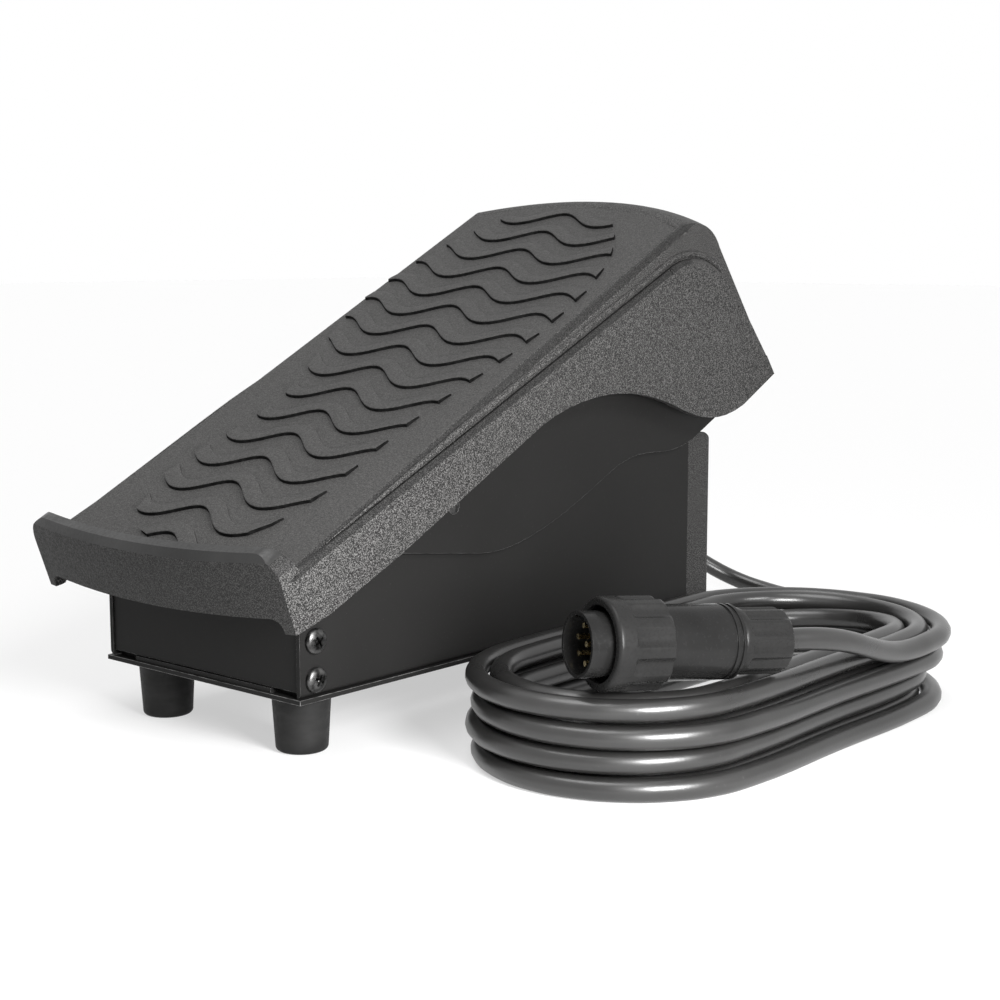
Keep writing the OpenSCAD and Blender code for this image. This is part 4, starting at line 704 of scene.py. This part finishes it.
# Each softened CAD node: width of its rounding, finishes, body, slot
softSizes = {
    "pedal_frame": (0.35, ["sheet", "sheetEdge"], "pedal", "black_sheet"),
    "chassis": (0.4, ["sheet", "sheetEdge"], "base", "black_sheet"),
    "front_panel": (0.4, ["sheet", "sheetEdge"], "base", "black_sheet"),
    "bottom_plate": (0.4, ["sheet", "sheetEdge"], "base", "black_sheet"),
    "rear_cap": (0.35, ["cap"], "base", "cover_plastic"),
    "rubber_feet": (0.6, ["foot"], "base", "rubber"),
    "gland_body": (0.35, ["black"], "base", "black_plastic"),
    "gland_nut": (0.45, ["black"], "base", "black_plastic"),
    "strain_relief": (0.3, ["black"], "base", "rubber"),
    "plug_barrel": (0.25, ["plug"], "base", "black_plastic"),
    "plug_insert": (0.12, ["black"], "base", "black_plastic"),
    "plug_seal": (0.5, ["foot"], "base", "rubber"),
    "pinion": (0.12, ["nylon"], "sensor_rotor", "white_nylon"),
    "potentiometer": (0.4, ["sensor"], "base", "sensor_blue"),
    "microswitch": (0.4, ["black"], "base", "black_plastic"),
}
for nodeName, (width, finishList, body, slot) in softSizes.items():
    words = nodeName.split("_") if "_" in nodeName else [nodeName, "case"]
    name = words[0] + "".join(w.capitalize() for w in words[1:])
    dress(softened(nodeName, name, width, finishList), body, [nodeName])


print("Screws")


# Spun about z: the profile is a list of (radius, height)
def spun(name, profile, steps):
    body = bmesh.new()
    rings = []
    turns = [2 * math.pi * i / steps for i in range(steps)]
    for radius, height in profile:
        if radius == 0:
            rings.append([body.verts.new((0, 0, height))])
            continue
        rings.append([body.verts.new((radius * math.cos(a), radius * math.sin(a), height)) for a in turns])
    for low, high in zip(rings, rings[1:]):
        for i in range(steps):
            j = (i + 1) % steps
            corners = [low[i % len(low)], low[j % len(low)], high[j % len(high)], high[i % len(high)]]
            body.faces.new(list(dict.fromkeys(corners)))
    return meshFrom(name, body)


# Shares of the head's radius and height, the crown's steps and curve, and the recess's taper
screwShape = {"steps": 40, "arc": 9, "crown": 0.62, "curve": 0.9, "rim": 0.72, "skirt": 0.98,
              "taper": 0.62, "sharpAngle": 34}


# The head's crown lies at z = 0 and its shank runs along -z
def headProfile(radius, height, shank, length):
    crown, curve = screwShape["crown"], screwShape["curve"]
    arc = [(radius * math.sin(a), -height * crown * (1 - math.cos(a)) ** curve)
           for a in quarterTurn(screwShape["arc"])]
    return arc + [(radius, -height * screwShape["rim"]), (radius * screwShape["skirt"], -height),
                  (shank, -height), (shank, -height - length), (0, -height - length)]


screwInputs = {"Recess Length": 4.6, "Recess Width": 1.0, "Recess Depth": 1.7, "Seed": 3}


def screwTree():
    tree, given, end = newTree("crossScrews", screwInputs)
    head = addNode(tree, "GeometryNodeObjectInfo", transform_space="ORIGINAL")
    deep = doMath(tree, "MULTIPLY", given["Recess Depth"], 2.0)
    size = joinVector(tree, given["Recess Length"], given["Recess Width"], deep)
    bar = addNode(tree, "GeometryNodeMeshCube", {"Size": size}).outputs[0]
    z = addNode(tree, "ShaderNodeSeparateXYZ", {0: tree.nodes.new("GeometryNodeInputPosition").outputs[0]})
    below = addNode(tree, "FunctionNodeCompare", {0: z.outputs[2], 1: 0.0}, operation="LESS_THAN")
    taper = addNode(tree, "GeometryNodeScaleElements", {
        "Geometry": bar, "Selection": below.outputs[0], "Scale": screwShape["taper"]}, domain="FACE")
    cross = addNode(tree, "GeometryNodeTransform", {
        "Geometry": taper.outputs[0], "Rotation": (0, 0, math.pi / 2)})
    cut = addNode(tree, "GeometryNodeMeshBoolean", {"Mesh 1": head.outputs["Geometry"]},
                  operation="DIFFERENCE")
    tree.links.new(taper.outputs[0], cut.inputs["Mesh 2"])
    tree.links.new(cross.outputs[0], cut.inputs["Mesh 2"])
    way = addNode(tree, "GeometryNodeInputNamedAttribute", {"Name": "way"}, data_type="FLOAT_VECTOR")
    turn = addNode(tree, "FunctionNodeAlignRotationToVector", {"Vector": way.outputs[0]}, axis="Z")
    spin = addNode(tree, "FunctionNodeRandomValue", {"Seed": given["Seed"]}, data_type="FLOAT")
    spin.inputs[2].default_value = 0.0
    spin.inputs[3].default_value = math.pi
    around = addNode(tree, "FunctionNodeAxisAngleToRotation", {
        "Axis": (0, 0, 1), "Angle": spin.outputs[1]})
    both = addNode(tree, "FunctionNodeRotateRotation", {
        "Rotation": turn.outputs[0], "Rotate By": around.outputs[0]}, rotation_space="LOCAL")
    rows = addNode(tree, "GeometryNodeInstanceOnPoints", {
        "Points": given["Geometry"], "Instance": cut.outputs[0], "Rotation": both.outputs[0]})
    closeTree(tree, rows.outputs[0], given, end)
    return tree, head


crossScrews, headSocket = screwTree()


# Each row: the head's radius and height, the shank's radius and length, the recess, finish, seed, slot, CAD
# node, and the places in the chassis' axes, each with the way its head faces
screwRows = {
    "sideScrews": {
        "head": (4.0, 2.4, 2.0, 8.0), "recess": {"Recess Length": 4.6},
        "finish": "screw", "seed": 4, "slot": "black_screw", "node": "side_screws",
        "places": [((s * 49.4, 6.1, z), (s, 0, 0)) for s in (-1, 1) for z in (25.8, 38)]},
    "capScrews": {
        "head": (3.6, 2.2, 1.6, 14.0), "recess": {"Recess Length": 4.2, "Recess Width": 0.9},
        "finish": "steel", "seed": 5, "slot": "steel", "node": "cap_screws",
        "places": [((x, 200, 16.7), (0, 0, -1)) for x in (-22, 22)]},
    "footScrews": {
        "head": (4.4, 3.0, 2.5, 16.0), "recess": {"Recess Length": 5.2, "Recess Depth": 2.0},
        "finish": "steel", "seed": 6, "slot": "steel", "node": "foot_screws",
        "places": [((x, y, 8), (0, 0, -1)) for x in (-33.4, 33.4) for y in (12.9, 191)]},
}


def screwRow(name, row):
    base = bpy.data.meshes.new(name)
    base.from_pydata([p for p, way in row["places"]], [], [])
    ways = base.attributes.new("way", "FLOAT_VECTOR", "POINT")
    for item, (p, way) in zip(ways.data, row["places"]):
        item.vector = way
    head = pieceFrom("screwHead", spun("screwHead", headProfile(*row["head"]), screwShape["steps"]))
    headSocket.inputs["Object"].default_value = head
    values = {**screwInputs, **row["recess"], "Seed": row["seed"]}
    mesh = grown(name, crossScrews, values, row["finish"], base)
    bpy.data.objects.remove(head)
    shadeByAngle(inRow(mesh, chassisAxes), screwShape["sharpAngle"])
    return pieceFrom(name, mesh)


for name, row in screwRows.items():
    dress(screwRow(name, row), "base", [row["node"]])


print("Connector")
gripInputs = {"Flutes": 10, "Flute Radius": 3.4, "Flute Out": 2.0, "Outer Radius": 13.75,
              "Low": 5.6, "Ease": 0.9}
gripShape = {"steps": 240, "merge": 1e-4, "arc": 4, "sharpAngle": 40}


# Scallops cut round a spun body by moving its outer points towards the axis
def gripTree():
    tree, given, end = newTree("gripFlutes", gripInputs)
    place = tree.nodes.new("GeometryNodeInputPosition").outputs[0]
    xyz = addNode(tree, "ShaderNodeSeparateXYZ", {0: place}).outputs
    angle = doMath(tree, "ARCTAN2", xyz[1], xyz[0])
    share = doMath(tree, "DIVIDE", 2 * math.pi, given["Flutes"])
    half = doMath(tree, "DIVIDE", share, 2.0)
    off = doMath(tree, "FLOORED_MODULO", doMath(tree, "ADD", angle, half), share)
    off = doMath(tree, "SUBTRACT", off, half)
    across = doMath(tree, "MULTIPLY", off, given["Outer Radius"])
    inside = doMath(tree, "SUBTRACT", doMath(tree, "POWER", given["Flute Radius"], 2.0),
                    doMath(tree, "MULTIPLY", across, across))
    deep = doMath(tree, "SUBTRACT", doMath(tree, "SQRT", doMath(tree, "MAXIMUM", inside, 0.0)),
                  given["Flute Out"])
    bottom = doMath(tree, "SUBTRACT", given["Outer Radius"], doMath(tree, "MAXIMUM", deep, 0.0))
    radius = addNode(tree, "ShaderNodeVectorMath", {0: joinVector(tree, xyz[0], xyz[1])}, operation="LENGTH")
    radius = radius.outputs["Value"]
    over = doMath(tree, "MAXIMUM", doMath(tree, "SUBTRACT", radius, bottom), 0.0)
    eased = doMath(tree, "ADD", given["Low"], given["Ease"])
    zone = addNode(tree, "ShaderNodeMapRange", {
        "Value": xyz[2], "From Min": given["Low"], "From Max": eased}, interpolation_type="SMOOTHSTEP")
    zone = zone.outputs[0]
    pull = doMath(tree, "DIVIDE", doMath(tree, "MULTIPLY", over, zone), doMath(tree, "MAXIMUM", radius, 0.1))
    pull = doMath(tree, "MULTIPLY", pull, -1.0)
    move = joinVector(tree, doMath(tree, "MULTIPLY", xyz[0], pull), doMath(tree, "MULTIPLY", xyz[1], pull))
    moved = addNode(tree, "GeometryNodeSetPosition", {"Geometry": given["Geometry"], "Offset": move})
    closeTree(tree, moved.outputs[0], given, end)
    return tree


gripFlutes = gripTree()


# A closed ring's section, with extra rings of points along its outside
def ringSection(bore, outer, low, high, edge, rows):
    side = [(outer, low + edge + (high - low - 2 * edge) * i / rows) for i in range(rows + 1)]
    curve = [(outer - edge * (1 - math.sin(a)), low + edge * (1 - math.cos(a)))
             for a in quarterTurn(gripShape["arc"])[:-1]]
    top = [(r, low + high - z) for r, z in reversed(curve)]
    return [(bore, low)] + curve + side + top + [(bore, high), (bore, low)]


def gripPiece(name, section, values, shift, finish):
    base = spun(name, section, gripShape["steps"])
    mesh = grown(name, gripFlutes, {**gripInputs, **values}, finish, base)
    body = bmesh.new()
    body.from_mesh(mesh)
    bmesh.ops.remove_doubles(body, verts=body.verts, dist=gripShape["merge"])
    bmesh.ops.recalc_face_normals(body, faces=body.faces)
    body.to_mesh(mesh)
    body.free()
    shadeByAngle(inRow(mesh, plugAxes @ Matrix.Translation((0, 0, shift))), gripShape["sharpAngle"])
    return pieceFrom(name, mesh)


ringShape = {"bore": 11.3, "outer": 13.75, "low": 0, "high": 18.7, "edge": 1.2, "rows": 26}
ringPiece = gripPiece("couplingRing", ringSection(**ringShape), {}, plug["ringStart"], "grip")
dress(ringPiece, "plug_ring", ["coupling_ring"])
backShape = {"bore": 4.8, "outer": 10, "low": 0, "high": 18, "edge": 1.6, "rows": 26}
backValues = {"Flutes": 12, "Flute Radius": 2.4, "Flute Out": 1.4, "Outer Radius": 10.0, "Low": 3.0}
backPiece = gripPiece("backNut", ringSection(**backShape), backValues, plug["backStart"], "grip")
dress(backPiece, "base", ["back_nut"])


print("Return spring")
spring = {"y": 88, "radius": 7.9, "wire": 2.2, "turns": 10, "low": 24, "high": 104, "shortest": 0.785,
          "perTurn": 24}
springEnds = (spring["low"] + spring["wire"] / 2, spring["high"] - spring["wire"] / 2)
springCount = spring["turns"] * spring["perTurn"]
springPoints = []
for i in range(springCount + 1):
    turn = 2 * math.pi * i / spring["perTurn"]
    height = springEnds[0] + (springEnds[1] - springEnds[0]) * (i / springCount)
    springPoints.append(chassisAxes @ Vector((spring["radius"] * math.cos(turn),
                                              spring["y"] + spring["radius"] * math.sin(turn), height)))
springCurve = smoothCurve("returnSpring", springPoints, spring["wire"] / 2 * mm, 2, 3)
springMesh = baked(springCurve, "returnSpring")
springMesh.materials.clear()
springMesh.materials.append(finishes["spring"])
springPiece = pieceFrom("returnSpring", springMesh)
dress(springPiece, "base", ["return_spring"])
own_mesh(springPiece)


print("Inner parts")
nodeFinishes = {
    "hinge_pin": "steel", "hinge_clips": "screw", "hinge_bushes": "black", "cover_screws": "steel",
    "stop_studs": "screw", "sector_gear": "steel", "sector_rivets": "steel", "spring_seat_upper": "black",
    "foot_nuts": "steel", "spring_seat_lower": "black", "pot_bracket": "steel", "pot_nut": "steel",
    "pot_shaft": "steel", "switch_bracket": "steel", "switch_screws": "screw", "switch_lever": "steel",
    "gland_locknut": "black", "plug_pins": "contact",
}
for nodeName, finish in nodeFinishes.items():
    data = nodes[nodeName].data
    data.materials.clear()
    data.materials.append(finishes[finish])


print("Floor and light")
stageSizes = {"floor": 14, "drop": 0.0001, "floorTone": 0.93, "glow": 0.55, "ambient": 0.24}
lamps = {"key": {"way": (0.8, -0.12, 0.56), "strength": 1.15, "angle": 14},
         "top": {"way": (-0.1, -0.25, 0.96), "strength": 1.9, "angle": 40}}
nearLamp = {"place": (0.34, -0.17, 0.12), "aim": (0.05, -0.11, 0.06), "size": 0.1, "power": 2.2}


def seenRays(tree):
    rays = tree.nodes.new("ShaderNodeLightPath").outputs
    seen = doMath(tree, "MAXIMUM", rays["Is Camera Ray"], rays["Is Glossy Ray"])
    return doMath(tree, "MAXIMUM", seen, rays["Is Transmission Ray"])


def paleFloor():
    floorFinish = bpy.data.materials.new("paleFloor")
    floorFinish.use_nodes = True
    tree = floorFinish.node_tree
    tree.nodes.clear()
    tone = stageSizes["floorTone"]
    paper = addNode(tree, "ShaderNodeBsdfDiffuse", {"Color": (tone, tone, tone, 1)})
    glow = addNode(tree, "ShaderNodeEmission", {"Color": (1, 1, 1, 1), "Strength": 1.0})
    share = doMath(tree, "MULTIPLY", seenRays(tree), stageSizes["glow"])
    mixed = addNode(tree, "ShaderNodeMixShader", {0: share, 1: paper.outputs[0], 2: glow.outputs[0]})
    out = tree.nodes.new("ShaderNodeOutputMaterial")
    tree.links.new(mixed.outputs[0], out.inputs["Surface"])
    return floorFinish


half = stageSizes["floor"] / 2
floorMesh = bpy.data.meshes.new("floor")
low = -stageSizes["drop"]
floorMesh.from_pydata([(-half, -half, low), (half, -half, low), (half, half, low), (-half, half, low)], [],
                      [(0, 1, 2, 3)])
floorMesh.materials.append(paleFloor())
pieceFrom("floor", floorMesh)

world = bpy.data.worlds.new("paleWorld")
scene.world = world
world.use_nodes = True
tree = world.node_tree
sky = tree.nodes["Background"]
sky.inputs["Color"].default_value = (1, 1, 1, 1)
tree.links.new(ranged(tree, seenRays(tree), stageSizes["ambient"], 1.0, 0.0, 1.0), sky.inputs["Strength"])

for name, lamp in lamps.items():
    data = bpy.data.lights.new(name, "SUN")
    data.energy = lamp["strength"]
    data.angle = math.radians(lamp["angle"])
    made = bpy.data.objects.new(name, data)
    made.rotation_euler = Vector(lamp["way"]).to_track_quat("Z", "Y").to_euler()
    scene.collection.objects.link(made)
# A small lamp beside the camera lights the heel end more than the toe
data = bpy.data.lights.new("near", "AREA")
data.size = nearLamp["size"]
data.energy = nearLamp["power"]
made = bpy.data.objects.new("near", data)
made.location = nearLamp["place"]
away = Vector(nearLamp["place"]) - Vector(nearLamp["aim"])
made.rotation_euler = away.to_track_quat("Z", "Y").to_euler()
scene.collection.objects.link(made)
scene.view_settings.view_transform = "Standard"


print("Finish")
